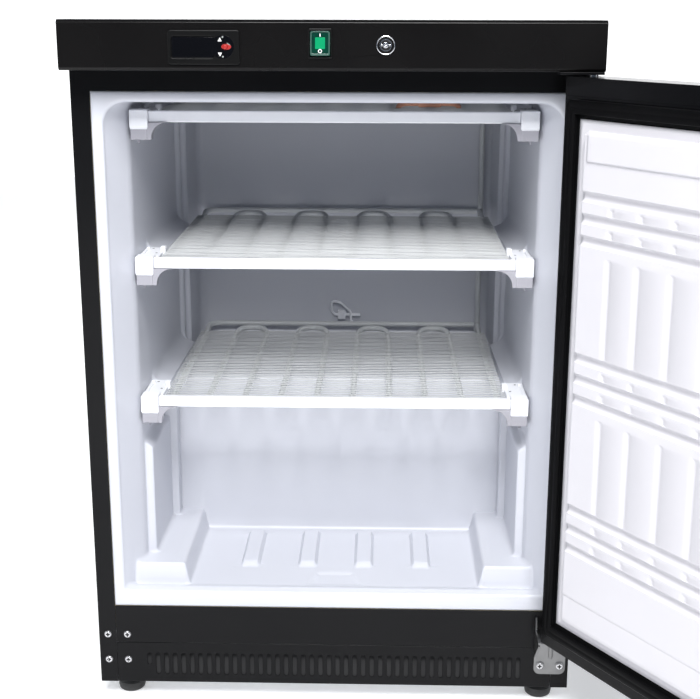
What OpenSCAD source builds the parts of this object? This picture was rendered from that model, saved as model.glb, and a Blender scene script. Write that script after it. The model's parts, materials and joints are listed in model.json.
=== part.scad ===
// Under-counter freezer: a steel cabinet on four levelling feet, a moulded inner liner with
// three fixed evaporator shelves, a control panel over the door, and a compressor bay behind.
// The door is drawn closed and then swung open about its hinge pins.
// Origin: centre of the footprint on the floor. X to the right, Y to the back, Z up.

/* [Cabinet] */
// Overall width
body_w = 600; // [590:1:630]
// Height of the worktop above the floor
body_h = 855; // [850:1:880]
// Overall depth, from the door's face to the condenser
total_d = 600; // [596:1:640]
// Depth in front of the cabinet that the door and control panel take
door_zone_d = 50; // [50:1:56]
// Depth behind the cabinet that the condenser takes
condenser_zone_d = 38; // [36:1:44]
// Height of the base above the floor
foot_h = 25; // [22:1:35]
// Thickness of the sheet steel
sheet = 1.5; // [1:0.1:1.8]
// Width of each front post
post_w = 22; // [20:1:24]
// Height of the slotted vent panel
vent_h = 56; // [52:1:60]
// Height of the rail above the vent panel
rail_h = 51; // [44:1:54]
// Height of the strip between the liner and the control panel
top_strip_h = 25; // [20:1:28]
// Thickness of the worktop
worktop_t = 20; // [16:1:26]
// Number of slots in the vent panel
vent_slots = 44; // [20:2:46]

/* [Liner] */
// Width of the liner's mouth
mouth_w = 530; // [510:1:536]
// Width between the side walls, behind the mouth's taper
cavity_w = 486; // [480:1:500]
// Width at the back wall
cavity_back_w = 442; // [436:1:460]
// Depth of the mouth's taper
throat_d = 50; // [40:1:60]
// Depth from the cabinet's front to the liner's back wall
cavity_d = 445; // [440:1:450]
// Depth of the floor in front of the step over the compressor
floor_d = 210; // [180:1:220]
// Height of that step above the floor
hump_h = 223; // [200:1:226]
// Wall of the liner
liner_t = 2.5; // [1.5:0.5:3]

/* [Shelves] */
// Height of the top shelf
shelf_top_z = 750; // [745:1:752]
// Distance from one shelf to the next
shelf_pitch = 176; // [160:1:180]
// Spacing of the shelf wires
wire_pitch = 8; // [6:1:20]
// Diameter of the evaporator tube
tube_dia = 8; // [6:0.5:8]

/* [Door] */
// Angle that the door stands open
door_open = 123; // [0:1:130]
// Thickness of the door, without its seal
door_t = 40; // [36:1:40]
// Gap between the door and the control panel's underside
door_top_gap = 4.8; // [4.8:0.1:8]
// Distance of the hinge axis from the door's side and front
hinge_inset = 12; // [11:0.5:14]
// Diameter of the hinge pins
pin_dia = 8; // [6:0.5:9]
// Radial clearance of each running fit
run_gap = 0.05; // [0.01:0.01:0.1]

/* [Control panel] */
// Height of the control panel
fascia_h = 54.7; // [50:0.1:58]
// Centre of the temperature controller, across
control_x = -138.5; // [-200:0.5:-100]
// Centre of the power switch, across
switch_x = -11.5; // [-40:0.5:10]
// Centre of the lock, across
lock_x = 60; // [40:1:120]

/* [Hidden] */

$fn = 48;
black = "#1d1d20";
white = "#f2f3f6";
steel = "#b4b6b4";
rubber = "#141414";

// Main planes
half_w = body_w / 2;
y_face = -total_d / 2;
y_front = y_face + door_zone_d;
y_back = total_d / 2 - condenser_zone_d;
z_vent = foot_h + vent_h;
z_flange = z_vent + rail_h;
z_fascia = body_h - fascia_h;
z_strip = z_fascia - top_strip_h;
z_worktop = body_h - worktop_t;

// Liner
flange_half = half_w - post_w;
y_cavity = y_front + cavity_d;
z_floor = z_flange + 20;
z_sill = z_floor + 4;
z_mouth_low = z_flange + 18;
z_mouth_top = z_strip - 12;
z_ceiling = z_mouth_top - 3;
y_hump = y_front + floor_d;
hump_draft = 6;
side_draft = 4.5;
back_draft = 4;
y_step = y_cavity - 85;
shelf_ledge_half = 228;
z_hump = z_floor + hump_h;
ledge_half = 192;
ledge_h = 28;
ledge_y = y_front + 26;

// Compressor bay
bay_wall = 34;
y_bay = y_hump + bay_wall + liner_t;
z_bay_floor = z_floor - 54;
z_bay_top = z_hump - bay_wall - liner_t - sheet;
tray_t = 3;
z_tray = foot_h + tray_t;

// Feet
foot_r = 17.5;
stem_r = 5;
foot_x = half_w - 33;
foot_y_front = y_front + 33;
foot_y_rear = y_back - 33;

// Hinges
pin_r = pin_dia / 2;
hinge_x = half_w - hinge_inset;
hinge_y = y_face + hinge_inset;
plate_t = 3;
z_hinge_top = z_fascia - plate_t;
bracket_x = [256, 296];
z_bracket = 45;
z_bracket_flange = 104;
screw_x = [263.6, 288.6];
screw_z = [57, 92.3];
screw_r = 2;
screw_len = 10;

// Door, closed
door_z0 = z_bracket_flange + plate_t + 5;
door_z1 = z_fascia - door_top_gap;
cap_h = 20;
y_inner = y_face + door_t;
seal_half = half_w - 10;
seal_in = half_w - 29.5;
seal_z = [z_flange - 1, z_strip - 3];
seal_w = 20.5;
seal_t = 9;
door_sheet = 1.2;
grip_z = [520, 680];
grip_d = 30;
grip_y = [y_face + 9, y_face + 35];
grip_wall = 2.5;

// Control panel
panel_wall = 2.5;
z_control = z_fascia + 25.2;
control_size = [79, 37];
control_body = [71, 29];
switch_size = [27, 32.5];
switch_body = switch_size - [1.6, 1.6];
rocker_size = [22, 27];
rocker_pin_r = 1.2;
rocker_gap = 0.3;
rocker_tilt = 8;
z_switch = z_fascia + 29.2;
key_r = 2.6;
key_gap = 0.1;
key_places = [[18, 8], [18, -7], [23.7, 0.5]];
z_lock = z_fascia + 28;
lock_r = 9;
barrel_r = 6;
cam_len = 40;
cam_t = 3;
cam_w = 12;
y_cam = y_face + 28;
pocket_gap = 3.5;

// Shelves
shelf_half = 219.5;
trim_h = 13.5;
trim_y = y_front + 42;
trim_t = 7;
bracket_y = trim_y + 84;
wire_r = 1;
wire_drop = 3;
wire_y = [y_front + 53, y_cavity - 38];
tube_r = tube_dia / 2;
tube_drop = wire_drop + wire_r + tube_r;
run_count = 10;
run_pitch = 45.7;
bend_y = [y_front + 78, y_cavity - 58];
riser_x = (run_count - 1) / 2 * run_pitch;
riser_y = y_cavity - 10;

// Compressor and condenser
pot_x = 120;
pot_y = y_bay + 132;
pot_r = 78;
grommet_h = 12;
grommet_places = [[-85, -60], [85, -60], [-85, 60], [85, 60]];
z_pot = z_tray + grommet_h;
condenser_half = 250;
condenser_runs = 14;
condenser_pitch = 32;
condenser_tube_r = 2.4;
condenser_wire_r = 0.8;
y_condenser = total_d / 2 - condenser_tube_r - 2 * condenser_wire_r - 0.1;
z_condenser = z_bay_top + 50;
clip_x = [-193, 199];
gland_x = -200;
gland_z = z_tray + 18;
gland_r = 8;

function shelf_z(level) = shelf_top_z - level * shelf_pitch;

// ---------- Shared shapes ----------

// A block between two corners
module block(lo, hi) {
    translate(lo) cube(hi - lo);
}

// A (y, z) outline run along X
module prism_x(outline, x0, x1) {
    translate([x0, 0, 0]) rotate([90, 0, 90]) linear_extrude(x1 - x0) polygon(outline);
}

// A child outline in (x, z) run along Y
module slab_y(y0, y1) {
    translate([0, y1, 0]) rotate([90, 0, 0]) linear_extrude(y1 - y0) children();
}

module rod_x(x0, x1, y, z, r) {
    translate([x0, y, z]) rotate([0, 90, 0]) cylinder(r = r, h = x1 - x0);
}

module rod_y(x, y0, y1, z, r) {
    translate([x, y0, z]) rotate([-90, 0, 0]) cylinder(r = r, h = y1 - y0);
}

module rod_z(x, y, z0, z1, r) {
    translate([x, y, z0]) cylinder(r = r, h = z1 - z0);
}

// Rounded rectangle, centred
module round_rect(w, h, r) {
    square([w - 2 * r, h], center = true);
    square([w, h - 2 * r], center = true);
    for (sx = [-1, 1], sy = [-1, 1])
        translate([sx * (w / 2 - r), sy * (h / 2 - r)]) circle(r);
}

// Half of a torus, bulging towards +Y, with its ends on the X axis
module bend(radius, r) {
    rotate_extrude(angle = 180) translate([radius, 0]) circle(r);
}

module mirrored(side) {
    mirror([side > 0 ? 0 : 1, 0, 0]) children();
}

// Holes for the hinge screws, the same on both front posts
module hinge_holes(side) {
    for (x = screw_x, z = screw_z) rod_y(side * x, y_front - 1, y_front + sheet + 1, z, screw_r);
}

// Where the top hinge's screws go, behind the control panel
module top_hinge_holes() {
    for (x = screw_x) rod_y(x, y_front - 1, y_front + sheet + 1, z_fascia + 16, screw_r);
}

// ---------- Cabinet ----------

module side_panel(side) {
    lip = 20;
    color(black) difference() {
        mirrored(side) translate([0, 0, foot_h]) linear_extrude(z_worktop - foot_h) polygon([
            [half_w, y_front], [half_w, y_back], [half_w - lip, y_back],
            [half_w - lip, y_back - sheet], [half_w - sheet, y_back - sheet],
            [half_w - sheet, y_front + sheet], [half_w - post_w, y_front + sheet],
            [half_w - post_w, y_front],
        ]);
        hinge_holes(side);
        if (side > 0) top_hinge_holes();
    }
}

module side_panel_left() { side_panel(-1); }
module side_panel_right() { side_panel(1); }

module worktop() {
    pan = 2;
    color(black) difference() {
        block([-half_w, y_front, z_worktop], [half_w, y_back, body_h]);
        block([-half_w + pan, y_front + pan, z_worktop - 1], [half_w - pan, y_back - pan, body_h - pan]);
    }
}

module back_panel() {
    color(steel) block([20 - half_w, y_back - sheet, z_bay_top], [half_w - 20, y_back, z_worktop]);
}

module base_tray() {
    color(steel) difference() {
        block([sheet - half_w, y_front + sheet, foot_h], [half_w - sheet, y_back - sheet, z_tray]);
        for (x = [-foot_x, foot_x], y = [foot_y_front, foot_y_rear])
            rod_z(x, y, foot_h - 1, z_tray + 1, stem_r + run_gap);
    }
}

// Folded sheet under the foam and around the compressor bay
module bay_panel() {
    y0 = y_front + sheet;
    y1 = y_back - sheet;
    color(steel) prism_x([
        [y0, z_bay_floor], [y_bay, z_bay_floor], [y_bay, z_bay_top], [y1, z_bay_top],
        [y1, z_bay_top + sheet], [y_bay - sheet, z_bay_top + sheet],
        [y_bay - sheet, z_bay_floor + sheet], [y0, z_bay_floor + sheet],
    ], sheet - half_w, half_w - sheet);
}

module bay_crossbar() {
    color(steel) difference() {
        block([20 - half_w, y_back - sheet, z_tray], [half_w - 20, y_back, z_tray + 36]);
        rod_y(gland_x, y_back - sheet - 1, y_back + 1, gland_z, gland_r);
    }
}

module top_rail() {
    color(black) difference() {
        block([-flange_half, y_front, z_strip], [flange_half, y_front + sheet, z_worktop]);
        top_hinge_holes();
    }
}

module lower_rail() {
    color(black) difference() {
        block([-flange_half, y_front, z_vent], [flange_half, y_front + sheet, z_flange]);
        for (side = [-1, 1]) hinge_holes(side);
    }
}

module vent_grille() {
    slot_w = 5.6;
    slot_h = 30;
    pitch = 484 / vent_slots;
    color(black) difference() {
        slab_y(y_front, y_front + sheet) difference() {
            translate([-flange_half, foot_h]) square([2 * flange_half, vent_h]);
            for (i = [0 : vent_slots - 1])
                translate([(i - (vent_slots - 1) / 2) * pitch, foot_h + 26.5])
                    round_rect(slot_w, slot_h, slot_w / 2 - 0.01);
        }
        for (side = [-1, 1]) hinge_holes(side);
    }
}

// ---------- Liner and its insulation ----------

// Plan of the space inside the liner, grown by t on every wall; the space itself runs out of the front
function cavity_plan(t) = let (
    m = mouth_w / 2 + t,
    c = cavity_w / 2 + t,
    d = cavity_w / 2 - side_draft + t,
    b = cavity_back_w / 2 + t,
    front = t > 0 ? [] : [[m, y_front - 1], [-m, y_front - 1]]
) concat(front, [
    [-m, y_front], [-c, y_front + throat_d], [-d, y_step], [-b - back_draft, y_step + 3],
    [-b, y_cavity + t], [b, y_cavity + t],
    [b + back_draft, y_step + 3], [d, y_step], [c, y_front + throat_d], [m, y_front],
]);

// Side view of the same space, from the mouth over the sill and the step to the back wall
function cavity_profile(t) = let (
    front = t > 0 ? [] : [[y_front - 1, z_mouth_top], [y_front - 1, z_mouth_low]]
) concat(front, t > 0 ? [[y_front, z_mouth_top + t]] : [], [
    [y_front, z_mouth_low - t], [y_front + 10, z_sill - t], [y_front + 24, z_floor - t],
    [y_hump + t, z_floor - t], [y_hump + hump_draft + t, z_hump - t], [y_cavity + t, z_hump - t],
    [y_cavity + t, z_ceiling + t],
]);

module cavity(t) {
    intersection() {
        linear_extrude(body_h) polygon(cavity_plan(t));
        prism_x(cavity_profile(t), -half_w, half_w);
    }
}

module liner_flange() {
    block([-flange_half, y_front, z_flange], [flange_half, y_front + liner_t, z_strip]);
}

// Forms that stand up inside the liner: low side ledges, floor ribs and the shelf ledges
module liner_forms() {
    for (side = [-1, 1]) mirrored(side)
        block([ledge_half, ledge_y, z_floor - 1], [half_w, y_hump + 3, z_floor + ledge_h]);
    for (x = [-113.5, -36, 38.5, 112])
        block([x - 11, y_hump - 130, z_floor - 1], [x + 11, y_hump - 20, z_floor + 6]);
    for (side = [-1, 1], level = [0 : 2]) mirrored(side)
        block([shelf_ledge_half, bracket_y, shelf_z(level) - 22], [half_w, y_step + 1, shelf_z(level) - 10]);
}

module liner() {
    color(white) difference() {
        union() {
            cavity(liner_t);
            liner_flange();
        }
        difference() {
            cavity(0);
            liner_forms();
        }
        translate([0, 0, z_floor - 1.5]) linear_extrude(3) polygon([
            [-35, y_front + 28], [35, y_front + 28], [22, y_front + 62], [-22, y_front + 62],
        ]);
    }
}

module cabinet_foam() {
    y0 = y_front + sheet;
    y1 = y_back - sheet;
    side = half_w - sheet;
    color("#e9dca0") difference() {
        union() {
            prism_x([
                [y0, z_bay_floor + sheet], [y_bay - sheet, z_bay_floor + sheet],
                [y_bay - sheet, z_bay_top + sheet], [y1, z_bay_top + sheet],
                [y1, z_worktop], [y0, z_worktop],
            ], -side, side);
            block([2 - half_w, y_front + 2, z_worktop], [half_w - 2, y_back - 2, body_h - 2]);
        }
        cavity(liner_t);
        liner_flange();
        for (x = screw_x) rod_y(x, y_front, y_front + screw_len, z_fascia + 16, screw_r);
    }
}

// ---------- Feet ----------

module foot(x, y) {
    color(rubber) translate([x, y, 0]) rotate_extrude() polygon([
        [0, 0], [foot_r - 3, 0], [foot_r - 0.8, 2], [foot_r, 6], [foot_r, 12], [11, 15],
        [11, foot_h], [stem_r, foot_h], [stem_r, foot_h + 38], [0, foot_h + 38],
    ]);
}

module foot_front_left() { foot(-foot_x, foot_y_front); }
module foot_front_right() { foot(foot_x, foot_y_front); }
module foot_rear_left() { foot(-foot_x, foot_y_rear); }
module foot_rear_right() { foot(foot_x, foot_y_rear); }

// ---------- Hinges ----------

// L-shaped bracket on the lower right corner, with a side wing that stiffens its arm
module bottom_hinge_bracket() {
    plate = 2.5;
    x0 = bracket_x[0];
    x1 = bracket_x[1];
    wing = 2;
    color(steel) difference() {
        union() {
            block([x0, y_front - plate, z_bracket], [x1, y_front, z_bracket_flange + plate_t]);
            block([x0, y_face + 2, z_bracket_flange], [x1, y_front, z_bracket_flange + plate_t]);
            prism_x([
                [y_front, z_bracket + 12], [y_front, z_bracket + 80], [y_front - 5, z_bracket + 80],
                [y_front - 9, z_bracket_flange + plate_t], [y_face + 6, z_bracket_flange],
                [y_front - plate, z_bracket + 24],
            ], x0, x0 + wing);
        }
        for (x = screw_x) rod_y(x, y_front - plate - 1, y_front + 1, screw_z[0], screw_r);
        rod_z(hinge_x, hinge_y, z_bracket_flange - 1, z_bracket_flange + plate_t + 1, pin_r);
    }
}

// Flat arm over the door with a tab that is screwed to the top rail
module top_hinge_bracket() {
    tab_x0 = screw_x[0] - 8;
    tab_x1 = screw_x[1] + 7;
    color(steel) difference() {
        union() {
            block([250, y_face + 1, z_hinge_top], [half_w - 1, y_front, z_fascia]);
            block([tab_x0, y_front - plate_t, z_hinge_top], [tab_x1, y_front, z_fascia + 28]);
        }
        for (x = screw_x) rod_y(x, y_front - plate_t - 1, y_front + 1, z_fascia + 16, screw_r);
        rod_z(hinge_x, hinge_y, z_hinge_top - 1, z_fascia + 1, pin_r);
    }
}

module hinge_pins() {
    color(steel) {
        rod_z(hinge_x, hinge_y, z_bracket_flange, door_z0 + 14, pin_r);
        rod_z(hinge_x, hinge_y, door_z1 - 13.5, z_fascia, pin_r);
    }
}

// Pan-head screw pointing into the cabinet
module screw(x, y, z) {
    head_r = 4.5;
    head_h = 2.2;
    color(steel) translate([x, y, z]) rotate([-90, 0, 0]) rotate_extrude() polygon([
        [0, -head_h], [head_r - 1.6, -head_h], [head_r, -0.8], [head_r, 0], [screw_r, 0],
        [screw_r, screw_len], [0, screw_len],
    ]);
}

module hinge_screws() {
    for (x = screw_x) {
        screw(x, y_front - 2.5, screw_z[0]);
        screw(x, y_front - plate_t, z_fascia + 16);
    }
}

module spare_screws() {
    for (x = screw_x, z = screw_z) screw(-x, y_front, z);
}

// ---------- Door ----------

module hung() {
    translate([hinge_x, hinge_y, 0]) rotate(door_open) translate([-hinge_x, -hinge_y, 0]) children();
}

module grip_space(grow, mouth) {
    block([-half_w - mouth, grip_y[0] - grow, grip_z[0] - grow],
          [-half_w + grip_d + grow, grip_y[1] + grow, grip_z[1] + grow]);
}

// Steel outer skin, folded round the sides to a frame on the inner face
module door_skin() {
    s = door_sheet;
    color(black) hung() difference() {
        block([-half_w, y_face, door_z0 + cap_h], [half_w, y_inner, door_z1 - cap_h]);
        block([s - half_w, y_face + s, door_z0], [half_w - s, y_inner - s, door_z1]);
        block([-seal_in, y_inner - s - 1, seal_z[0] + seal_w], [seal_in, y_inner + 1, seal_z[1] - seal_w]);
        grip_space(grip_wall, 1);
    }
}

module bush_hole(z0, z1) {
    rod_z(hinge_x, hinge_y, z0, z1, pin_r + 3);
}

// Plastic end caps; the upper one has a pocket that the lock's cam drops into
module door_cap_top() {
    color(black) hung() difference() {
        block([-half_w, y_face, door_z1 - cap_h], [half_w, y_inner, door_z1]);
        bush_hole(door_z1 - 15, door_z1 + 1);
        block([lock_x - cam_w / 2 - pocket_gap, y_cam - pocket_gap, door_z1 - 11],
              [lock_x + cam_w / 2 + pocket_gap, y_cam + cam_t + pocket_gap, door_z1 + 1]);
    }
}

module door_cap_bottom() {
    color(black) hung() difference() {
        block([-half_w, y_face, door_z0], [half_w, y_inner, door_z0 + cap_h]);
        bush_hole(door_z0 - 1, door_z0 + 15);
    }
}

// Solid form of the inner panel, shrunk by t: a raised field with bands of cross grooves
module door_form(t) {
    z0 = seal_z[0] + seal_w;
    z1 = seal_z[1] - seal_w;
    border = 16;
    rise = 12;
    groove_r = 5;
    difference() {
        union() {
            block([t - seal_in, y_inner - door_sheet, z0 + t], [seal_in - t, y_inner + 3 - t, z1 - t]);
            block([border + t - seal_in, y_inner - door_sheet, z0 + 12 + t],
                  [seal_in - border - t, y_inner + rise - t, z1 - 12 - t]);
        }
        for (top = [z1 - 81, z1 - 262, z1 - 443], i = [0 : 2])
            rod_x(-seal_in - 1, seal_in + 1, y_inner + rise + 2, top - 24 * i, groove_r + t);
    }
}

// Moulded inner panel, filled with foam from behind
module door_liner() {
    color(white) hung() difference() {
        door_form(0);
        door_form(2);
    }
}

module door_foam() {
    s = door_sheet;
    color("#e9dca0") hung() {
        difference() {
            block([s - half_w, y_face + s, door_z0 + cap_h], [half_w - s, y_inner - s, door_z1 - cap_h]);
            grip_space(grip_wall, 1);
        }
        door_form(2);
    }
}

module door_gasket() {
    color(rubber) hung() difference() {
        block([-seal_half, y_inner, seal_z[0]], [seal_half, y_inner + seal_t, seal_z[1]]);
        block([-seal_in, y_inner - 1, seal_z[0] + seal_w],
              [seal_in, y_inner + seal_t + 1, seal_z[1] - seal_w]);
    }
}

// Finger recess let into the door's free edge
module door_handle() {
    color(black) hung() difference() {
        grip_space(grip_wall, 0);
        grip_space(0, 1);
    }
}

module hinge_bushes() {
    flange_h = 4.7;
    color("#d8d8d2") hung() {
        for (top = [false, true]) difference() {
            union() {
                rod_z(hinge_x, hinge_y, top ? door_z1 - 15 : door_z0, top ? door_z1 : door_z0 + 15, pin_r + 3);
                if (!top) rod_z(hinge_x, hinge_y, door_z0 - flange_h, door_z0, pin_r + 5);
            }
            rod_z(hinge_x, hinge_y, top ? door_z1 - 14 : door_z0 - flange_h - 1,
                  top ? door_z1 + 1 : door_z0 + 14.5, pin_r + run_gap);
        }
    }
}

// ---------- Control panel ----------

// Long hollow housing, open at the back, with its front edges eased
module fascia() {
    ease = 3;
    w = panel_wall;
    cam_reach = lock_x + cam_len - 5;
    color(black) difference() {
        intersection() {
            block([-half_w, y_face, z_fascia], [half_w, y_front, body_h]);
            prism_x([
                [y_face, z_fascia + ease], [y_face + ease, z_fascia], [y_front, z_fascia],
                [y_front, body_h], [y_face + ease, body_h], [y_face, body_h - ease],
            ], -half_w, half_w);
        }
        block([w - half_w, y_face + w, z_fascia + w], [half_w - w, y_front + 1, body_h - w]);
        slab_y(y_face - 1, y_face + w + 1) {
            translate([control_x, z_control]) square(control_body, center = true);
            translate([switch_x, z_switch]) square(switch_body, center = true);
            translate([lock_x, z_lock]) circle(lock_r);
        }
        block([lock_x - cam_w / 2 - 2, y_cam - 2, z_fascia - 1], [cam_reach, y_cam + cam_t + 2, z_fascia + w + 1]);
        block([screw_x[0] - 9, y_front - plate_t - 1, z_fascia - 1], [screw_x[1] + 8, y_front + 1, z_fascia + w + 1]);
    }
}

module key_hole(i) {
    translate([control_x, z_control] + key_places[i]) circle(key_r + key_gap);
}

// Temperature controller: a flanged case with a window at the left and three keys at the right
module thermostat_case() {
    proud = 2.5;
    lens = [46, 22];
    body_d = 38;
    color(black) difference() {
        union() {
            slab_y(y_face - proud, y_face) translate([control_x, z_control]) square(control_size, center = true);
            slab_y(y_face, y_face + body_d) translate([control_x, z_control]) square(control_body, center = true);
        }
        slab_y(y_face - proud - 1, y_face - proud + 1.5)
            translate([control_x - 12, z_control]) square(lens, center = true);
        slab_y(y_face - proud - 1, y_face + 8) for (i = [0 : 2]) key_hole(i);
    }
}

module thermostat_lens() {
    color("#050507") slab_y(y_face - 2.5, y_face - 1)
        translate([control_x - 12, z_control]) square([46, 22], center = true);
}

// A round key that sinks into the case
module key(i, tint) {
    color(tint) slab_y(y_face - 3.6, y_face + 5)
        translate([control_x, z_control] + key_places[i]) circle(key_r);
}

module key_up() { key(0, "#dedede"); }
module key_down() { key(1, "#dedede"); }
module key_set() { key(2, "#c33a30"); }

// Frame and body of the power switch, hollow for the rocker
module switch_bezel() {
    color(black) difference() {
        union() {
            slab_y(y_face - 1.5, y_face) translate([switch_x, z_switch]) square(switch_size, center = true);
            slab_y(y_face, y_face + 25)
                translate([switch_x, z_switch]) square(switch_body, center = true);
        }
        slab_y(y_face - 2, y_face + 14)
            translate([switch_x, z_switch]) square(rocker_size + 2 * [rocker_gap, rocker_gap], center = true);
        rod_x(switch_x - switch_size[0], switch_x + switch_size[0], y_face + 2, z_switch,
              rocker_pin_r + run_gap);
    }
}

// Rocker on its two pins, with its upper end pressed in and its lower end standing out
module switch_rocker() {
    half_h = rocker_size[1] / 2;
    pin_reach = rocker_size[0] / 2 + rocker_gap + 0.9;
    crown = 4.5;
    waist = 1.5;
    tail = 5;
    color("#0c8a4e") translate([switch_x, y_face + 2, z_switch]) rotate([-rocker_tilt, 0, 0]) {
        prism_x([
            [-crown, 0.3 - half_h], [-crown + waist, 0], [-crown, half_h - 0.3],
            [tail, half_h - 5], [tail, 5 - half_h],
        ], -rocker_size[0] / 2, rocker_size[0] / 2);
        rod_x(-pin_reach, pin_reach, 0, 0, rocker_pin_r);
    }
}

module lock_housing() {
    color(steel) difference() {
        union() {
            rod_y(lock_x, y_face - 2.5, y_face, z_lock, lock_r + 1.7);
            rod_y(lock_x, y_face, y_cam - 1, z_lock, lock_r);
        }
        rod_y(lock_x, y_face - 3, y_cam, z_lock, barrel_r + run_gap);
    }
}

module lock_barrel() {
    color(steel) difference() {
        rod_y(lock_x, y_face - 2, y_cam, z_lock, barrel_r);
        block([lock_x - 3.6, y_face - 3, z_lock - 0.7], [lock_x + 3.6, y_face + 8, z_lock + 0.7]);
    }
}

// Bolt arm on the back of the lock, lying level while the door is unlocked
module lock_cam() {
    color(steel) slab_y(y_cam, y_cam + cam_t) translate([lock_x, z_lock]) {
        circle(cam_w / 2 + 2);
        translate([0, -cam_w / 2]) square([cam_len, cam_w]);
    }
}

// ---------- Shelves ----------

// Front edge strip
module shelf_trim(level) {
    z = shelf_z(level);
    color(white) block([-shelf_half, trim_y, z - trim_h], [shelf_half, trim_y + trim_t, z]);
}

module shelf_trim_top() { shelf_trim(0); }
module shelf_trim_middle() { shelf_trim(1); }
module shelf_trim_bottom() { shelf_trim(2); }

// Wires side by side across the tube
module shelf_wires(level) {
    z = shelf_z(level) - wire_drop;
    end = 214;
    color(white) for (y = [wire_y[0] : wire_pitch : wire_y[1]]) rod_x(-end, end, y, z, wire_r);
}

module shelf_wires_top() { shelf_wires(0); }
module shelf_wires_middle() { shelf_wires(1); }
module shelf_wires_bottom() { shelf_wires(2); }

// How far back each run goes: the first turns into the tail, the last meets the riser
function run_end(i, tail_r) =
    i == 0 ? riser_y - tail_r : i == run_count - 1 ? riser_y - tube_r : bend_y[1];

// Serpentine of the refrigerant tube under the wires, with its tail led to the riser
module evaporator(level) {
    z = shelf_z(level) - tube_drop;
    r = tube_r;
    half_pitch = run_pitch / 2;
    tail_r = 20;
    color(white) {
        for (i = [0 : run_count - 1])
            rod_y((2 * i + 1 - run_count) * half_pitch, bend_y[0], run_end(i, tail_r), z, r);
        for (i = [0 : run_count - 2])
            translate([(2 * i + 2 - run_count) * half_pitch, i % 2 == 0 ? bend_y[0] : bend_y[1], z])
                rotate(i % 2 == 0 ? 180 : 0) bend(half_pitch, r);
        translate([tail_r - riser_x, riser_y - tail_r, z])
            rotate(90) rotate_extrude(angle = 90) translate([tail_r, 0]) circle(r);
        rod_x(tail_r - riser_x, riser_x - r, riser_y, z, r);
    }
}

module evaporator_top() { evaporator(0); }
module evaporator_middle() { evaporator(1); }
module evaporator_bottom() { evaporator(2); }

// Moulded blocks that carry the ends of each shelf strip on one side wall
module shelf_brackets(side) {
    color(white) mirrored(side) intersection() {
        for (level = [0 : 2]) {
            z = shelf_z(level);
            block([shelf_half, trim_y - 4, z - 19], [half_w, trim_y + 16, z + 1.5]);
            block([shelf_half + 2, trim_y - 2, z - 34], [half_w, trim_y + 16, z - 19]);
            block([shelf_half - 4, trim_y + 16, z - 19], [half_w, bracket_y, z + 1.5]);
        }
        cavity(0);
    }
}

module shelf_brackets_left() { shelf_brackets(-1); }
module shelf_brackets_right() { shelf_brackets(1); }

// Pipe that joins the three shelves up the back wall
module evaporator_riser() {
    color(white) rod_z(riser_x, riser_y, shelf_z(2) - tube_drop - 4, shelf_z(0) - tube_drop + 4, tube_r);
}

// Sensing bulb in a clip on the back wall
module temperature_probe() {
    color(white) {
        block([-9, y_cavity - 8, shelf_z(2) + 5], [3, y_cavity, shelf_z(2) + 19]);
        rod_x(3, 26, y_cavity - 5, shelf_z(2) + 12, 2.5);
    }
}

// ---------- Refrigeration at the back ----------

// Welded pot on a pressed foot plate, with its pipe stubs
module compressor() {
    plate = 3;
    color("#202023") difference() {
        union() {
            translate([pot_x, pot_y, z_pot]) rotate_extrude() polygon([
                [0, 0], [pot_r - 16, 0], [pot_r - 3, 18], [pot_r - 3, 82], [pot_r, 84], [pot_r, 94],
                [pot_r - 4, 96], [pot_r - 4, 130], [pot_r - 20, 160], [pot_r - 46, 172], [0, 175],
            ]);
            block([pot_x - 97, pot_y - 72, z_pot], [pot_x + 97, pot_y + 72, z_pot + plate]);
            rod_x(pot_x - 100, pot_x - 60, pot_y + 20, z_pot + 118, 4);
            rod_x(pot_x - 100, pot_x - 60, pot_y - 20, z_pot + 50, 3.2);
        }
        for (p = grommet_places) rod_z(pot_x + p[0], pot_y + p[1], z_pot - 1, z_pot + plate + 1, 4);
    }
}

module compressor_grommets() {
    color(rubber) for (p = grommet_places) {
        rod_z(pot_x + p[0], pot_y + p[1], z_tray, z_pot, 9);
        rod_z(pot_x + p[0], pot_y + p[1], z_pot, z_pot + 3, 4);
        rod_z(pot_x + p[0], pot_y + p[1], z_pot + 3, z_pot + 5, 6);
    }
}

// Box over the compressor's terminals, start relay and overload switch
module terminal_cover() {
    color("#2a2a2c") block([pot_x - 28, pot_y - pot_r - 24, z_pot + 30], [pot_x + 28, pot_y - pot_r + 3, z_pot + 82]);
}

// Serpentine tube with upright wires welded to both faces
module condenser() {
    r = condenser_tube_r;
    wire = condenser_wire_r;
    step = condenser_pitch / 2;
    reach = condenser_half - step;
    top = z_condenser + (condenser_runs - 1) * condenser_pitch;
    color(black) {
        for (i = [0 : condenser_runs - 1])
            rod_x(-reach, reach, y_condenser, z_condenser + i * condenser_pitch, r);
        for (i = [0 : condenser_runs - 2])
            translate([i % 2 == 0 ? reach : -reach, y_condenser, z_condenser + (i + 0.5) * condenser_pitch])
                rotate([90, 0, 0]) rotate(i % 2 == 0 ? -90 : 90) bend(step, r);
        for (x = [-reach + 6 : 14 : reach - 6], face = [-1, 1])
            rod_z(x, y_condenser + face * (r + wire + 0.02), z_condenser - 8, top + 8, wire);
    }
}

// Stand-offs that hold the condenser away from the back panel
module condenser_clips() {
    color(black) for (x = clip_x, row = [1, condenser_runs - 2])
        translate([x, 0, z_condenser + row * condenser_pitch]) difference() {
            block([-2.4, y_back, -7], [2.4, y_condenser + 3.8, 7]);
            rod_x(-4, 4, y_condenser, 0, condenser_tube_r);
        }
}

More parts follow.
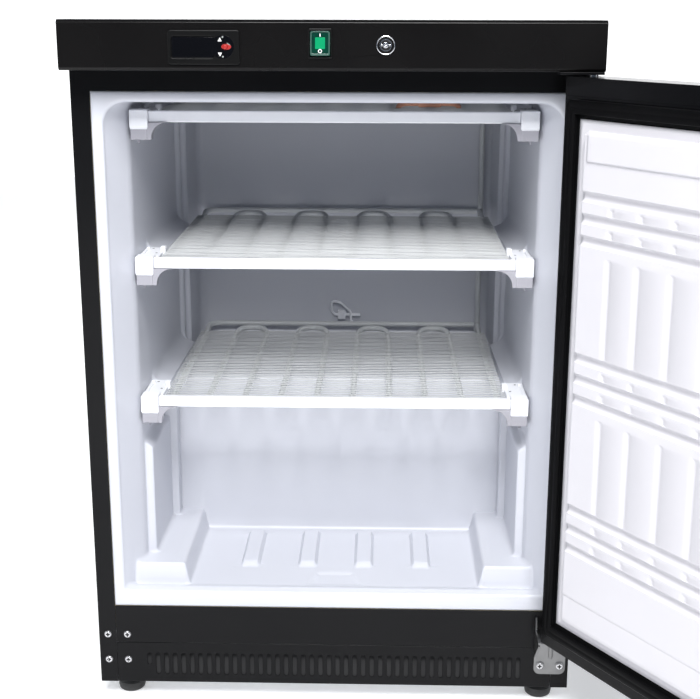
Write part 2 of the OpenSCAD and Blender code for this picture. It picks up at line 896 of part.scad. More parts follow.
// Drier on the condenser's outlet, lying in the bay
module filter_drier() {
    color("#b5703c") translate([-90, y_bay + 90, z_tray + 40]) rotate([0, 90, 0]) rotate_extrude() polygon([
        [0, -62], [2.2, -62], [2.2, -42], [9.5, -34], [9.5, 34], [2.2, 42], [2.2, 62], [0, 62],
    ]);
}

// Bush where the mains lead leaves the bay
module cord_gland() {
    color(rubber) translate([gland_x, y_back, gland_z]) rotate([-90, 0, 0]) difference() {
        rotate_extrude() polygon([
            [3.8, -9], [gland_r + 2, -9], [gland_r + 2, -sheet], [gland_r, -sheet], [gland_r, 0],
            [gland_r + 2, 0], [gland_r + 2, 4], [6, 22], [3.8, 22],
        ]);
    }
}

side_panel_left();
side_panel_right();
worktop();
back_panel();
base_tray();
bay_panel();
bay_crossbar();
top_rail();
lower_rail();
vent_grille();
cabinet_foam();
liner();
foot_front_left();
foot_front_right();
foot_rear_left();
foot_rear_right();
bottom_hinge_bracket();
top_hinge_bracket();
hinge_pins();
hinge_screws();
spare_screws();
door_skin();
door_cap_top();
door_cap_bottom();
door_liner();
door_foam();
door_gasket();
door_handle();
hinge_bushes();
fascia();
thermostat_case();
thermostat_lens();
key_up();
key_down();
key_set();
switch_bezel();
switch_rocker();
lock_housing();
lock_barrel();
lock_cam();
shelf_trim_top();
shelf_trim_middle();
shelf_trim_bottom();
shelf_wires_top();
shelf_wires_middle();
shelf_wires_bottom();
evaporator_top();
evaporator_middle();
evaporator_bottom();
shelf_brackets_left();
shelf_brackets_right();
evaporator_riser();
temperature_probe();
compressor();
terminal_cover();
compressor_grommets();
condenser();
condenser_clips();
filter_drier();
cord_gland();
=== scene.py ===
# Looks for the under-counter freezer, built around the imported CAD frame. Shapes are drawn in
# millimetres in the row frame (X right, Y back, Z up), and the door's pieces are drawn closed.
import json
from math import acos, cos, hypot, pi, radians, sin, sqrt

import bmesh
import bpy
from mathutils import Matrix, Vector


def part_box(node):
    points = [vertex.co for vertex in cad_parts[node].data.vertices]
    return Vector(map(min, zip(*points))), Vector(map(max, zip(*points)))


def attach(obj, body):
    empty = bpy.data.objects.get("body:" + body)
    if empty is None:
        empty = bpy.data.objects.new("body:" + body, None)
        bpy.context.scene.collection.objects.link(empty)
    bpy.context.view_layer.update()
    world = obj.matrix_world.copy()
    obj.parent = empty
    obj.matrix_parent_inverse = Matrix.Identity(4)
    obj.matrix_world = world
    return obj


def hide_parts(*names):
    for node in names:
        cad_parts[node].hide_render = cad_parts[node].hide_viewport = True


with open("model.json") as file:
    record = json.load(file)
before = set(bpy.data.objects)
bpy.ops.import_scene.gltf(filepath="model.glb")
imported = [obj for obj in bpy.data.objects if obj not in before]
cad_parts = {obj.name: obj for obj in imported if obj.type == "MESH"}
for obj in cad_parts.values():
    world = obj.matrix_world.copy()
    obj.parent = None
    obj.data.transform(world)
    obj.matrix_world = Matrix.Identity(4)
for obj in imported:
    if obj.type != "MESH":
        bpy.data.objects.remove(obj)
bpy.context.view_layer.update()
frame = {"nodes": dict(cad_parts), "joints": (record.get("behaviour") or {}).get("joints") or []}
NODES = frame["nodes"]
MM = 0.001

hinge = next(j for j in frame["joints"] if j["name"] == "door_hinge")
HINGE_AT = Vector(hinge["pos_m"])
OPENED = radians(-hinge["range_deg"][0])
SWING = Matrix.Translation(HINGE_AT) @ Matrix.Rotation(OPENED, 4, "Z") @ Matrix.Translation(-HINGE_AT)


def corners(node):
    """Lowest and highest corner of a CAD node, in mm."""
    lo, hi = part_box(node)
    return lo / MM, hi / MM


def shut_corners(node):
    """Corners of a door node with the door shut, in mm."""
    back = SWING.inverted()
    points = [(back @ v.co) / MM for v in NODES[node].data.vertices]
    return (Vector(min(p[i] for p in points) for i in range(3)), Vector(max(p[i] for p in points)
        for i in range(3)))


def show(o):
    """Puts an object in the scene."""
    bpy.context.scene.collection.objects.link(o)
    return o


def ramp(v, start, end):
    """0 before start, 1 after end, and smooth between."""
    t = min(1.0, max(0.0, (v - start) / (end - start)))
    return t * t * (3 - 2 * t)


def between(value, points):
    """Reads a value off straight runs between (position, value) points."""
    if value <= points[0][0]:
        return points[0][1]
    for (a, va), (b, vb) in zip(points, points[1:]):
        if value <= b:
            return va + (vb - va) * (value - a) / (b - a)
    return points[-1][1]


# ---------- Materials ----------

def wire_noise(tree, scale, detail, kind="ShaderNodeTexNoise", stretch=None):
    """A noise texture in object space, which is metres in the row frame."""
    place = tree.nodes.new("ShaderNodeTexCoord").outputs["Object"]
    if stretch:
        mapping = tree.nodes.new("ShaderNodeMapping")
        mapping.inputs["Scale"].default_value = stretch
        tree.links.new(place, mapping.inputs["Vector"])
        place = mapping.outputs["Vector"]
    noise = tree.nodes.new(kind)
    noise.inputs["Scale"].default_value = scale
    if "Detail" in noise.inputs:
        noise.inputs["Detail"].default_value = detail
    tree.links.new(place, noise.inputs["Vector"])
    return noise


def colour(tone):
    """A neutral or an RGB tone as an opaque colour."""
    return (tone, tone, tone, 1) if isinstance(tone, float) else (*tone, 1)


def finish(name, dark, light, rough, metallic=0.0, grain=1200, depth=0.02, mottle=9, coat=0.0,
        stretch=None, cells=False, sheen=0.0, specular=0.5):
    """A surface whose colour drifts between two tones, with fine grain in its bump and gloss."""
    m = bpy.data.materials.new(name)
    m.use_nodes = True
    tree = m.node_tree
    shader = tree.nodes["Principled BSDF"]
    for socket, value in (("Metallic", metallic), ("Coat Weight", coat), ("Coat Roughness", 0.12),
            ("Sheen Weight", sheen), ("Specular IOR Level", specular)):
        shader.inputs[socket].default_value = value

    drift = wire_noise(tree, mottle, 3.0, "ShaderNodeTexVoronoi" if cells else "ShaderNodeTexNoise")
    tint = tree.nodes.new("ShaderNodeMix")
    tint.data_type = "RGBA"
    tint.inputs[6].default_value = colour(dark)
    tint.inputs[7].default_value = colour(light)
    source = drift.outputs["Color"] if cells else drift.outputs["Fac"]
    if cells:
        grey = tree.nodes.new("ShaderNodeSeparateColor")
        tree.links.new(source, grey.inputs["Color"])
        source = grey.outputs["Red"]
    tree.links.new(source, tint.inputs["Factor"])
    tree.links.new(tint.outputs[2], shader.inputs["Base Color"])

    fine = wire_noise(tree, grain, 4.0, stretch=stretch)
    gloss = tree.nodes.new("ShaderNodeMapRange")
    gloss.inputs["To Min"].default_value = rough[0]
    gloss.inputs["To Max"].default_value = rough[1]
    tree.links.new(source, gloss.inputs["Value"])
    tree.links.new(gloss.outputs["Result"], shader.inputs["Roughness"])
    bump = tree.nodes.new("ShaderNodeBump")
    bump.inputs["Strength"].default_value = 0.35
    bump.inputs["Distance"].default_value = depth * MM
    tree.links.new(fine.outputs["Fac"], bump.inputs["Height"])
    tree.links.new(bump.outputs["Normal"], shader.inputs["Normal"])
    return m


def glow(name, glow_tone, strength, dark, light):
    """A lamp window: a tinted plastic that is lit from behind."""
    m = finish(name, dark, light, (0.15, 0.3), grain=900, depth=0.01, mottle=120, specular=0.1)
    shader = m.node_tree.nodes["Principled BSDF"]
    shader.inputs["Emission Color"].default_value = (*glow_tone, 1)
    shader.inputs["Emission Strength"].default_value = strength
    return m


STEEL_BLACK = finish("black_enamel", (0.0035, 0.0035, 0.004), (0.006, 0.006, 0.0065), (0.2, 0.27),
    grain=260, depth=0.05, specular=0.13)
BAFFLE_GREY = finish("dusty_baffle_paint", (0.022, 0.022, 0.023), (0.036, 0.036, 0.037), (0.45, 0.6),
    grain=600, depth=0.06, mottle=14, specular=0.1)
DOOR_BLACK = finish("black_gloss_enamel", (0.003, 0.003, 0.0035), (0.005, 0.005, 0.0055), (0.12, 0.18),
    grain=180, depth=0.04, specular=0.11)
WORKTOP_BLACK = finish("black_worktop_laminate", (0.006, 0.006, 0.0065), (0.009, 0.009, 0.01),
    (0.1, 0.15), grain=500, depth=0.012, specular=0.5)
PANEL_BLACK = finish("black_grained_plastic", (0.0028, 0.0025, 0.0025), (0.0048, 0.0044, 0.0044),
    (0.22, 0.32), grain=2600, depth=0.03, specular=0.16)
CASE_BLACK = finish("black_moulded_case", 0.0035, 0.006, (0.24, 0.32), grain=3400, depth=0.02,
    specular=0.15)
LENS_BLACK = finish("smoked_lens", (0.0015, 0.0015, 0.002), (0.003, 0.003, 0.004), (0.05, 0.09), grain=90,
    depth=0.003, specular=0.3)
LINER_WHITE = finish("white_liner_plastic", (0.545, 0.557, 0.607), (0.585, 0.597, 0.647), (0.30, 0.40),
    grain=420, depth=0.05, mottle=5)
DOOR_WHITE = finish("white_door_plastic", (0.60, 0.588, 0.615), (0.63, 0.618, 0.645), (0.34, 0.42),
    grain=420, depth=0.04, mottle=5, specular=0.35)
SHELF_WHITE = finish("white_shelf_plastic", (0.78, 0.79, 0.83), (0.83, 0.84, 0.87), (0.28, 0.4),
    grain=900, depth=0.03, mottle=12)
WIRE_WHITE = finish("white_coated_wire", (0.37, 0.38, 0.385), (0.44, 0.45, 0.455), (0.3, 0.45), grain=700,
    depth=0.06, mottle=25)
TUBE_WHITE = finish("white_coated_tube", (0.53, 0.545, 0.55), (0.61, 0.625, 0.63), (0.3, 0.42), grain=500,
    depth=0.08, mottle=18)
# Darker copy of the shelf white for each bracket's lower block, web and pin, which are one white part with
# the cap: painted shade for the shadow below the cap.
BRACKET_SHADED_WHITE = finish("bracket_white_painted_shade", (0.30, 0.295, 0.33), (0.35, 0.345, 0.38), (0.25, 0.36),
    grain=900, depth=0.03, mottle=14)
RUBBER = finish("black_rubber", 0.008, 0.016, (0.55, 0.7), grain=1500, depth=0.05, sheen=0.1)
SEAL_BLACK = finish("soft_seal_vinyl", (0.002, 0.002, 0.0022), (0.004, 0.004, 0.0044), (0.3, 0.4),
    grain=800, depth=0.03, specular=0.04)
ZINC = finish("bright_zinc_plate", 0.17, 0.25, (0.28, 0.42), metallic=1.0, grain=700, depth=0.03,
    mottle=60)
SCREW_STEEL = finish("nickel_screw_steel", (0.52, 0.52, 0.53), (0.66, 0.66, 0.67), (0.2, 0.3),
    metallic=1.0, grain=900, depth=0.02, mottle=120)
GALVANISED = finish("spangled_galvanised_steel", (0.40, 0.42, 0.44), (0.62, 0.64, 0.66), (0.30, 0.5),
    metallic=1.0, grain=500, depth=0.03, mottle=70, cells=True)
CHROME = finish("polished_chrome", (0.78, 0.78, 0.8), (0.86, 0.86, 0.87), (0.14, 0.2), metallic=1.0,
    grain=300, depth=0.004, mottle=80)
CAM_STEEL = finish("plain_cam_steel", (0.3, 0.3, 0.31), (0.45, 0.45, 0.46), (0.3, 0.45), metallic=1.0,
    grain=900, depth=0.04, stretch=(1, 8, 8))
LOCK_DARK = finish("dark_lock_face", 0.006, 0.012, (0.25, 0.35), grain=900, depth=0.02, specular=0.3)
POT_BLACK = finish("compressor_paint", (0.009, 0.009, 0.010), (0.018, 0.018, 0.019), (0.3, 0.48),
    grain=420, depth=0.09, mottle=30)
TUBE_BLACK = finish("condenser_paint", (0.010, 0.010, 0.011), (0.020, 0.020, 0.021), (0.35, 0.5),
    grain=900, depth=0.08, mottle=40)
COPPER = finish("copper_tube", (0.62, 0.25, 0.12), (0.82, 0.40, 0.24), (0.2, 0.42), metallic=1.0,
    grain=800, depth=0.02, mottle=55)
COPPER_DULL = finish("brazed_copper", (0.34, 0.15, 0.09), (0.50, 0.24, 0.15), (0.45, 0.6), metallic=0.25,
    grain=800, depth=0.04, mottle=90)
FOAM = finish("foam_insulation", (0.62, 0.53, 0.3), (0.72, 0.62, 0.38), (0.8, 0.95), grain=600, depth=0.3,
    mottle=60)
BUSH = finish("bush_nylon", (0.66, 0.66, 0.62), (0.74, 0.74, 0.7), (0.35, 0.45), grain=1100, depth=0.03)
MARK_WHITE = finish("printed_white", 0.72, 0.82, (0.5, 0.6), grain=1500, depth=0.01, mottle=200)
MARK_GREY = finish("printed_grey", (0.20, 0.22, 0.21), (0.30, 0.32, 0.31), (0.5, 0.6), grain=1500,
    depth=0.01, mottle=200)
KEY_DARK = finish("key_rubber", 0.002, 0.004, (0.3, 0.4), grain=2000, depth=0.01, mottle=200,
    specular=0.1)
KEY_RED = finish("key_red", (0.28, 0.012, 0.010), (0.38, 0.02, 0.016), (0.3, 0.4), grain=1500, depth=0.02,
    mottle=200)
ROCKER_GREEN = finish("smoked_green_rocker", (0.001, 0.022, 0.014), (0.002, 0.035, 0.022), (0.08, 0.14),
    grain=500, depth=0.004, mottle=90, specular=0.4)
LAMP_GREEN = glow("lit_green_window", (0.002, 0.50, 0.19), 0.6, (0.002, 0.07, 0.03), (0.004, 0.11, 0.05))
# Lighter green-grey rim round the rocker's face: partly the clear rim's own tint, partly a painted
# highlight along its top and sides.
ROCKER_RIM_HIGHLIGHT = finish("rocker_rim_painted_highlight", (0.03, 0.075, 0.06), (0.045, 0.10, 0.08), (0.1, 0.2), grain=700,
    depth=0.004, mottle=60)

# ---------- Shapes, each a bmesh in mm ----------


def shape_of(verts, faces):
    b = bmesh.new()
    made = [b.verts.new(v) for v in verts]
    for f in faces:
        b.faces.new([made[i] for i in f])
    return b


def joined(parts):
    whole = bmesh.new()
    for part in parts:
        mesh = bpy.data.meshes.new("part")
        part.to_mesh(mesh)
        part.free()
        whole.from_mesh(mesh)
        bpy.data.meshes.remove(mesh)
    return whole


def moved(part, matrix):
    bmesh.ops.transform(part, matrix=matrix, verts=part.verts)
    return part


def block(lo, hi, edge=1.0, steps=3):
    """A block between two corners with rounded edges."""
    b = bmesh.new()
    bmesh.ops.create_cube(b, size=1)
    lo, hi = Vector(lo), Vector(hi)
    for v in b.verts:
        v.co = Vector((lo[i] + hi[i]) / 2 + v.co[i] * (hi[i] - lo[i]) for i in range(3))
    if edge:
        edge = min(edge, min(hi - lo) * 0.49)
        bmesh.ops.bevel(b, geom=b.edges, offset=edge, segments=steps, profile=0.5, affect="EDGES")
    return b


def skin(loops, close_start=True, close_end=True, around=True):
    """A surface through loops of the same number of points."""
    n = len(loops[0])
    verts = [p for loop in loops for p in loop]
    faces = []
    for i in range(len(loops) - 1):
        for j in range(n if around else n - 1):
            k = (j + 1) % n
            faces.append((i * n + j, i * n + k, (i + 1) * n + k, (i + 1) * n + j))
    if close_start:
        faces.append(tuple(range(n))[::-1])
    if close_end:
        faces.append(tuple((len(loops) - 1) * n + j for j in range(n)))
    b = shape_of(verts, faces)
    bmesh.ops.recalc_face_normals(b, faces=b.faces)
    return b


def turned(profile, at, axis="Z", steps=40, start=0.0, sweep=2 * pi):
    """A solid turned from (radius, height) points about an axis through a point."""
    basis = {"Z": Matrix.Identity(3), "Y": Matrix.Rotation(-pi / 2, 3, "X"),
        "X": Matrix.Rotation(pi / 2, 3, "Y")}[axis]
    profile = [(max(r, 0.01), h) for r, h in profile]
    loops = [[Vector(at) + basis @ Vector((r * cos(start + sweep * i / steps),
        r * sin(start + sweep * i / steps), h)) for i in range(steps)] for r, h in profile]
    return skin(loops)


def tube(path, radius, steps=12, flat_ends=True):
    """A round tube along points."""
    points = [Vector(p) for p in path]
    loops = []
    up = Vector((0, 0, 1)) if abs((points[1] - points[0]).normalized().z) < 0.9 else Vector((1, 0, 0))
    side = (points[1] - points[0]).cross(up).normalized()
    for i, p in enumerate(points):
        ahead = (points[min(i + 1, len(points) - 1)] - points[max(i - 1, 0)]).normalized()
        side = (side - ahead * side.dot(ahead)).normalized()
        other = ahead.cross(side)
        r = radius[i] if isinstance(radius, (list, tuple)) else radius
        loops.append([p + (side * cos(2 * pi * k / steps) + other * sin(2 * pi * k / steps)) * r
            for k in range(steps)])
    return skin(loops, flat_ends, flat_ends)


def rounded_route(points, radius, steps=6):
    """A route through corner points, with each corner turned on an arc."""
    points = [Vector(p) for p in points]
    route = [points[0]]
    for before, at, after in zip(points, points[1:], points[2:]):
        a, b = (before - at).normalized(), (after - at).normalized()
        half = acos(max(-1, min(1, a.dot(b)))) / 2
        reach = min(radius / max(1e-6, abs(sin(half) / cos(half))), (before - at).length * 0.49,
            (after - at).length * 0.49)
        start, end = at + a * reach, at + b * reach
        for i in range(steps + 1):
            t = i / steps
            route.append(start * (1 - t) ** 2 + at * 2 * t * (1 - t) + end * t ** 2)
    return route + [points[-1]]


def round_outline(cx, cz, w, h, r, steps=6):
    """Corner-rounded rectangle as (x, z) points."""
    r = min(r, w / 2 - 0.01, h / 2 - 0.01)
    out = []
    for qx, qz, turn in ((1, 1, 0), (-1, 1, pi / 2), (-1, -1, pi), (1, -1, 1.5 * pi)):
        for i in range(steps + 1):
            a = turn + pi / 2 * i / steps
            out.append((cx + qx * (w / 2 - r) + r * cos(a), cz + qz * (h / 2 - r) + r * sin(a)))
    return out


def sheet_plate(outlines, y0, y1, edge=0.4, steps=2):
    """A flat plate in the XZ plane from y0 to y1: the first outline is its edge, the rest are
    holes, and all its edges are rounded."""
    curve = bpy.data.curves.new("plate", "CURVE")
    curve.dimensions = "2D"
    curve.fill_mode = "BOTH"
    curve.extrude = (y1 - y0) / 2 - edge
    curve.bevel_depth = edge
    curve.offset = -edge
    curve.bevel_resolution = steps
    for outline in outlines:
        spline = curve.splines.new("POLY")
        spline.points.add(len(outline) - 1)
        for point, (x, z) in zip(spline.points, outline):
            point.co = (x, z, 0, 1)
        spline.use_cyclic_u = True
    holder = show(bpy.data.objects.new("plate", curve))
    mesh = bpy.data.meshes.new_from_object(holder)
    b = bmesh.new()
    b.from_mesh(mesh)
    bpy.data.objects.remove(holder)
    bpy.data.curves.remove(curve)
    bpy.data.meshes.remove(mesh)
    bmesh.ops.remove_doubles(b, verts=b.verts, dist=0.002)
    turn = Matrix.Translation((0, (y0 + y1) / 2, 0)) @ Matrix.Rotation(pi / 2, 4, "X")
    moved(b, turn)
    bmesh.ops.recalc_face_normals(b, faces=b.faces)
    return b


# ---------- Pieces ----------

def piece(name, parts, material, stands_for=(), body="cabinet", smooth=38, shut=False):
    """One object from shapes in mm. A door piece is drawn shut, so it is swung to rest first."""
    whole = joined(parts)
    bmesh.ops.scale(whole, vec=(MM, MM, MM), verts=whole.verts)
    if shut:
        bmesh.ops.transform(whole, matrix=SWING, verts=whole.verts)
    mesh = bpy.data.meshes.new(name)
    whole.to_mesh(mesh)
    whole.free()
    mesh.shade_smooth()
    mesh.set_sharp_from_angle(angle=radians(smooth))
    mesh.materials.append(material)
    o = show(bpy.data.objects.new(name, mesh))
    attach(o, body)
    if stands_for:
        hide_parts(*stands_for)
    return o


def even_normals(o):
    """Keeps flat faces flat next to rounded edges."""
    o.modifiers.new("even_normals", "WEIGHTED_NORMAL").keep_sharp = True
    return o


def keep(node, material, edge=0.0, steps=2, angle=40):
    """A CAD node that stays, with a better finish and, if asked, rounded edges."""
    o = NODES[node]
    o.data.materials.clear()
    o.data.materials.append(material)
    if edge:
        if o.data.has_custom_normals:
            o.data.attributes.remove(o.data.attributes["custom_normal"])
        o.data.shade_smooth()
        weld = o.modifiers.new("weld", "WELD")
        weld.merge_threshold = 2e-6
        bevel = o.modifiers.new("rounded_edges", "BEVEL")
        bevel.width = edge * MM
        bevel.segments = steps
        bevel.limit_method = "ANGLE"
        bevel.angle_limit = radians(angle)
        bevel.harden_normals = True
    return o


def flipped(part):
    """The same shape on the other side of X = 0."""
    bmesh.ops.scale(part, vec=(-1, 1, 1), verts=part.verts)
    bmesh.ops.reverse_faces(part, faces=part.faces)
    return part


def on_side(part, side):
    return part if side > 0 else flipped(part)


def ellipse(cx, cz, rx, rz, steps=32):
    return [(cx + rx * cos(2 * pi * i / steps), cz + rz * sin(2 * pi * i / steps)) for i in range(steps)]


def circle(cx, cz, r, steps=32):
    return ellipse(cx, cz, r, r, steps)


def plan_plate(outlines, z0, z1, edge=0.4, steps=2):
    """A flat plate of (x, y) outlines from z0 to z1."""
    upright = sheet_plate([[(x, -y) for x, y in o] for o in outlines], z0, z1, edge, steps)
    return moved(upright, Matrix.Rotation(pi / 2, 4, "X"))


def side_plate(outlines, x0, x1, edge=0.4, steps=2):
    """A flat plate of (y, z) outlines from x0 to x1."""
    upright = sheet_plate([[(-y, z) for y, z in o] for o in outlines], x0, x1, edge, steps)
    return moved(upright, Matrix.Rotation(-pi / 2, 4, "Z"))


# ---------- Liner ----------

LEVELS = ("top", "middle", "bottom")
SHELF_Z = {level: corners(f"shelf_trim_{level}")[1].z for level in LEVELS}
LINER_LO, LINER_HI = corners("liner")
FRONT, BACK = LINER_LO.y, LINER_HI.y - 2.5
FLANGE = LINER_HI.x
FLOOR, CEILING = LINER_LO.z + 20, LINER_HI.z - 13
HUMP_Y, HUMP_Z = FRONT + 210, FLOOR + 223
LEDGE_H = 28
LIP = 4
RIBS = (37.2, 112.8)
FLOOR_Z = [(FRONT, FLOOR + 2), (FRONT + 4, FLOOR + 2), (FRONT + 8, FLOOR + 3.8), (FRONT + 10, FLOOR + 4),
    (FRONT + 13, FLOOR + 3.6), (FRONT + 18, FLOOR + 1.6), (FRONT + 22, FLOOR + 0.3), (FRONT + 25, FLOOR),
    (HUMP_Y - 7, FLOOR), (HUMP_Y - 4.5, FLOOR + 0.7), (HUMP_Y - 2.8, FLOOR + 2.6),
    (HUMP_Y - 1.8, FLOOR + 6), (HUMP_Y - 1, FLOOR + 18), (HUMP_Y - 0.6, FLOOR + LEDGE_H),
    (HUMP_Y + 0.5, FLOOR + 63), (HUMP_Y + 2, FLOOR + 108), (HUMP_Y + 3.2, FLOOR + 148),
    (HUMP_Y + 4.4, FLOOR + 188), (HUMP_Y + 5.1, FLOOR + 208), (HUMP_Y + 6.2, FLOOR + 216),
    (HUMP_Y + 8.5, FLOOR + 220.8), (HUMP_Y + 12, FLOOR + 222.6), (HUMP_Y + 16, HUMP_Z)]
WALL_X = [(FRONT + 4, FLANGE - 14), (FRONT + 46, FLANGE - 34), (FRONT + 54, FLANGE - 35.2),
    (BACK - 97.2, FLANGE - 39.2), (BACK - 96.2, FLANGE - 40.2), (BACK - 95.2, FLANGE - 44.6),
    (BACK - 94.2, FLANGE - 45.6), (BACK - 85.2, FLANGE - 46.4), (BACK - 84.2, FLANGE - 47.4),
    (BACK - 83.2, FLANGE - 52.2), (BACK - 82.2, FLANGE - 53.4), (BACK, FLANGE - 57)]


def wall_x(y, z):
    """Half the space's width at a depth and height, with the forms that stand in from the side wall."""
    x = between(y, WALL_X)
    panel = 10 * ramp(y, FRONT + 56.5, FRONT + 61) * (1 - ramp(z, FLOOR + 171, FLOOR + 182))
    column = 19 * ramp(y, HUMP_Y - 28, HUMP_Y - 23)
    low = max(panel, column) * (1 - ramp(y, HUMP_Y, HUMP_Y + 4)) if z < SHELF_Z["bottom"] - 21 else 0
    ledge = 0
    for top in SHELF_Z.values():
        dz = z - top
        if -26 < dz <= -10:
            ledge = ramp(dz, -26, -22)
        elif -10 < dz < 12:
            ledge = ((12 - dz) / 22) ** 3
    ledge *= 20 * ramp(y, FRONT + 119, FRONT + 126) * (1 - ramp(y, BACK - 97, BACK - 94))
    return x - max(low, ledge)


def floor_form(x, y):
    """Height of the ribs and the shallow scoop in the floor."""
    run = ramp(y, HUMP_Y - 133, HUMP_Y - 122) * (1 - ramp(y, HUMP_Y - 24, HUMP_Y - 20))
    rib = sum(1 - ramp(abs(abs(x) - c), 9.5, 12.5) for c in RIBS)
    y0 = FRONT + 27
    half = 35 - 13 * (y - y0) / 36
    scoop = (1 - ramp(abs(x), half - 2, half)) * ramp(y, y0, y0 + 2) * (1 - ramp(y, y0 + 33, y0 + 36))
    return 6 * rib * run - 1.8 * scoop


def liner_half(y, grow):
    """Right half of the liner's outline at one depth, from the floor's middle to the ceiling's."""
    low = between(y, FLOOR_Z)
    k = ramp(y, FRONT + 22, FRONT + 27.5)
    corner = max(low, FLOOR + LEDGE_H * k)
    foot_r = max(0.6, (6 if y < HUMP_Y else 1.5) + min(grow, 0))
    wall = wall_x(y, corner + foot_r - grow) + grow
    edge_x, full_x, drawn_from = 191.3, 224, 188
    fit = min(1, (wall - foot_r - edge_x) / (full_x - edge_x))
    across = [0, 12, 18.5, 21.5, 24.2, 26.2, 28.2, 30.2, 33.5, 37.2, 41, 44.2, 46.2, 48.2, 50.2, 60, 78,
        94, 99.8, 101.8, 103.8, 105.8, 112.8, 119.8, 121.8, 123.8, 125.8, 140, 160, 174]
    points = [(x, low - grow + (floor_form(x, y) if y < HUMP_Y - 6 else 0)) for x in across]
    for x, rise in ((181, 0), (183.5, 0.02), (185, 0.09), (187.5, 0.43), (190.2, 0.86), (191.3, 0.95),
            (193.5, 1), (205, 1), (218, 1)):
        points.append((min(x, edge_x) + max(0, x - edge_x) * fit, max(low,
            FLOOR + LEDGE_H * k * rise if y < HUMP_Y else low) - grow))
    for i in range(6):
        a = pi / 2 * i / 5
        points.append((wall - foot_r + foot_r * sin(a), corner - grow + foot_r - foot_r * cos(a)))

    start = corner - grow + foot_r
    meet = SHELF_Z["bottom"] - 21
    for z in (215, 250, 290, 318, 321, 324, 327, 330, 334, 342, 355, 367, 370, 372, 374, 375.5, 376.6):
        z = start + (meet - start) * (z - drawn_from) / (meet - drawn_from)
        points.append((wall_x(y, z) + grow, z))
    roof = between(y, [(FRONT + 4, CEILING + 0.3), (FRONT + 60, CEILING)]) + grow
    round_r = max(0.6, between(y, [(FRONT + 4, 27), (FRONT + 50, 13)]) + min(grow, 0))
    heights = []
    for level in ("bottom", "middle"):
        s = SHELF_Z[level]
        heights += [s + d for d in (-21, -14, -11, -10.2, -10, -9.8, -9, -7.5, -5, -1, 5, 12, 20, 45, 80,
            115, 146, 150, 152, 153.6)]
    s = SHELF_Z["top"]
    heights += [s + d for d in (-21, -14, -11, -10.2, -10, -9.8, -9, -7.5, -5)]
    base, full = s - 50, s - 1.5
    for z in heights:
        if z > base:
            z = base + (z - base) * (roof - round_r - base) / (full - base)
        points.append((wall_x(y, z) + grow, z))
    top_x = wall_x(y, roof - grow - round_r) + grow
    for i in range(9):
        a = pi / 2 * i / 8
        points.append((top_x - round_r + round_r * cos(a), roof - round_r + round_r * sin(a)))
    points += [((top_x - round_r) * f, roof) for f in (0.86, 0.62, 0.3, 0)]
    return points


def whole_loop(half, y):
    """A closed loop at one depth from its right half."""
    other = [(-x, z) for x, z in half[-2:0:-1]]
    return [Vector((x, y, z)) for x, z in half + other]


def flange_loop(half, y, inset):
    """The half outline pushed out to the flange's square edge, with its corners kept."""
    half_w, mid = FLANGE - inset, (LINER_LO.z + LINER_HI.z) / 2
    half_h = (LINER_HI.z - LINER_LO.z) / 2 - inset
    out = []
    for x, z in half:
        dz = z - mid
        s = min(half_w / max(abs(x), 1e-6), half_h / max(abs(dz), 1e-6))
        out.append((x * s, mid + dz * s))
    for cz in (mid - half_h, mid + half_h):
        nearest = min(range(len(out)), key=lambda i: hypot(out[i][0] - half_w, out[i][1] - cz))
        out[nearest] = (half_w, cz)
    return whole_loop(out, y)


def liner_shape():
    mouth = liner_half(FRONT + LIP, LIP)
    loops = [flange_loop(mouth, FRONT + d, i) for d, i in ((5, 0), (2.5, 0), (0.7, 0.7), (0, 2.5))]
    for i in range(6, -1, -1):
        a = pi / 2 * i / 6
        loops.append(whole_loop(liner_half(FRONT + LIP, LIP * (1 - cos(a))), FRONT + LIP * (1 - sin(a))))
    at_front = (6, 8, 10, 13, 18, 20.5, 22, 23, 24, 25, 26, 27, 27.7, 29, 33, 40, 46, 50, 54, 56.3, 57.5,
        58.7, 60, 61.2, 63, 70, 75, 77, 79, 81, 83, 85, 87, 89, 100, 112, 118, 120, 122, 124, 126, 128,
        140)
    to_hump = (-60, -45, -29, -27, -25.5, -24, -22.5, -20, -12, -7, -4.5, -2.8, -1.8, -1, -0.6, 0.5, 2,
        3.2, 4.4, 5.1, 6.2, 8.5, 12, 16, 40, 80, 115)
    to_back = (-99, -97.2, -96.2, -95.7, -95.2, -94.2, -93, -86.2, -85.2, -84.2, -83.7, -83.2, -82.2, -81,
        -78, -50, -20)
    depths = [FRONT + d for d in at_front] + [HUMP_Y + d for d in to_hump] + [BACK + d for d in to_back]
    loops += [whole_loop(liner_half(y, 0), y) for y in depths]
    back_r = 12
    for i in range(7):
        a = pi / 2 * i / 6
        loops.append(whole_loop(liner_half(BACK - back_r + back_r * sin(a), -back_r * (1 - cos(a))),
            BACK - back_r + back_r * sin(a)))
    return skin(loops, close_start=False, close_end=True)


liner = piece("liner_moulding", [liner_shape()], LINER_WHITE, ["liner"], smooth=48)
wall = liner.modifiers.new("wall", "SOLIDIFY")
wall.thickness = 2.0 * MM
wall.offset = -1.0

# ---------- Door ----------


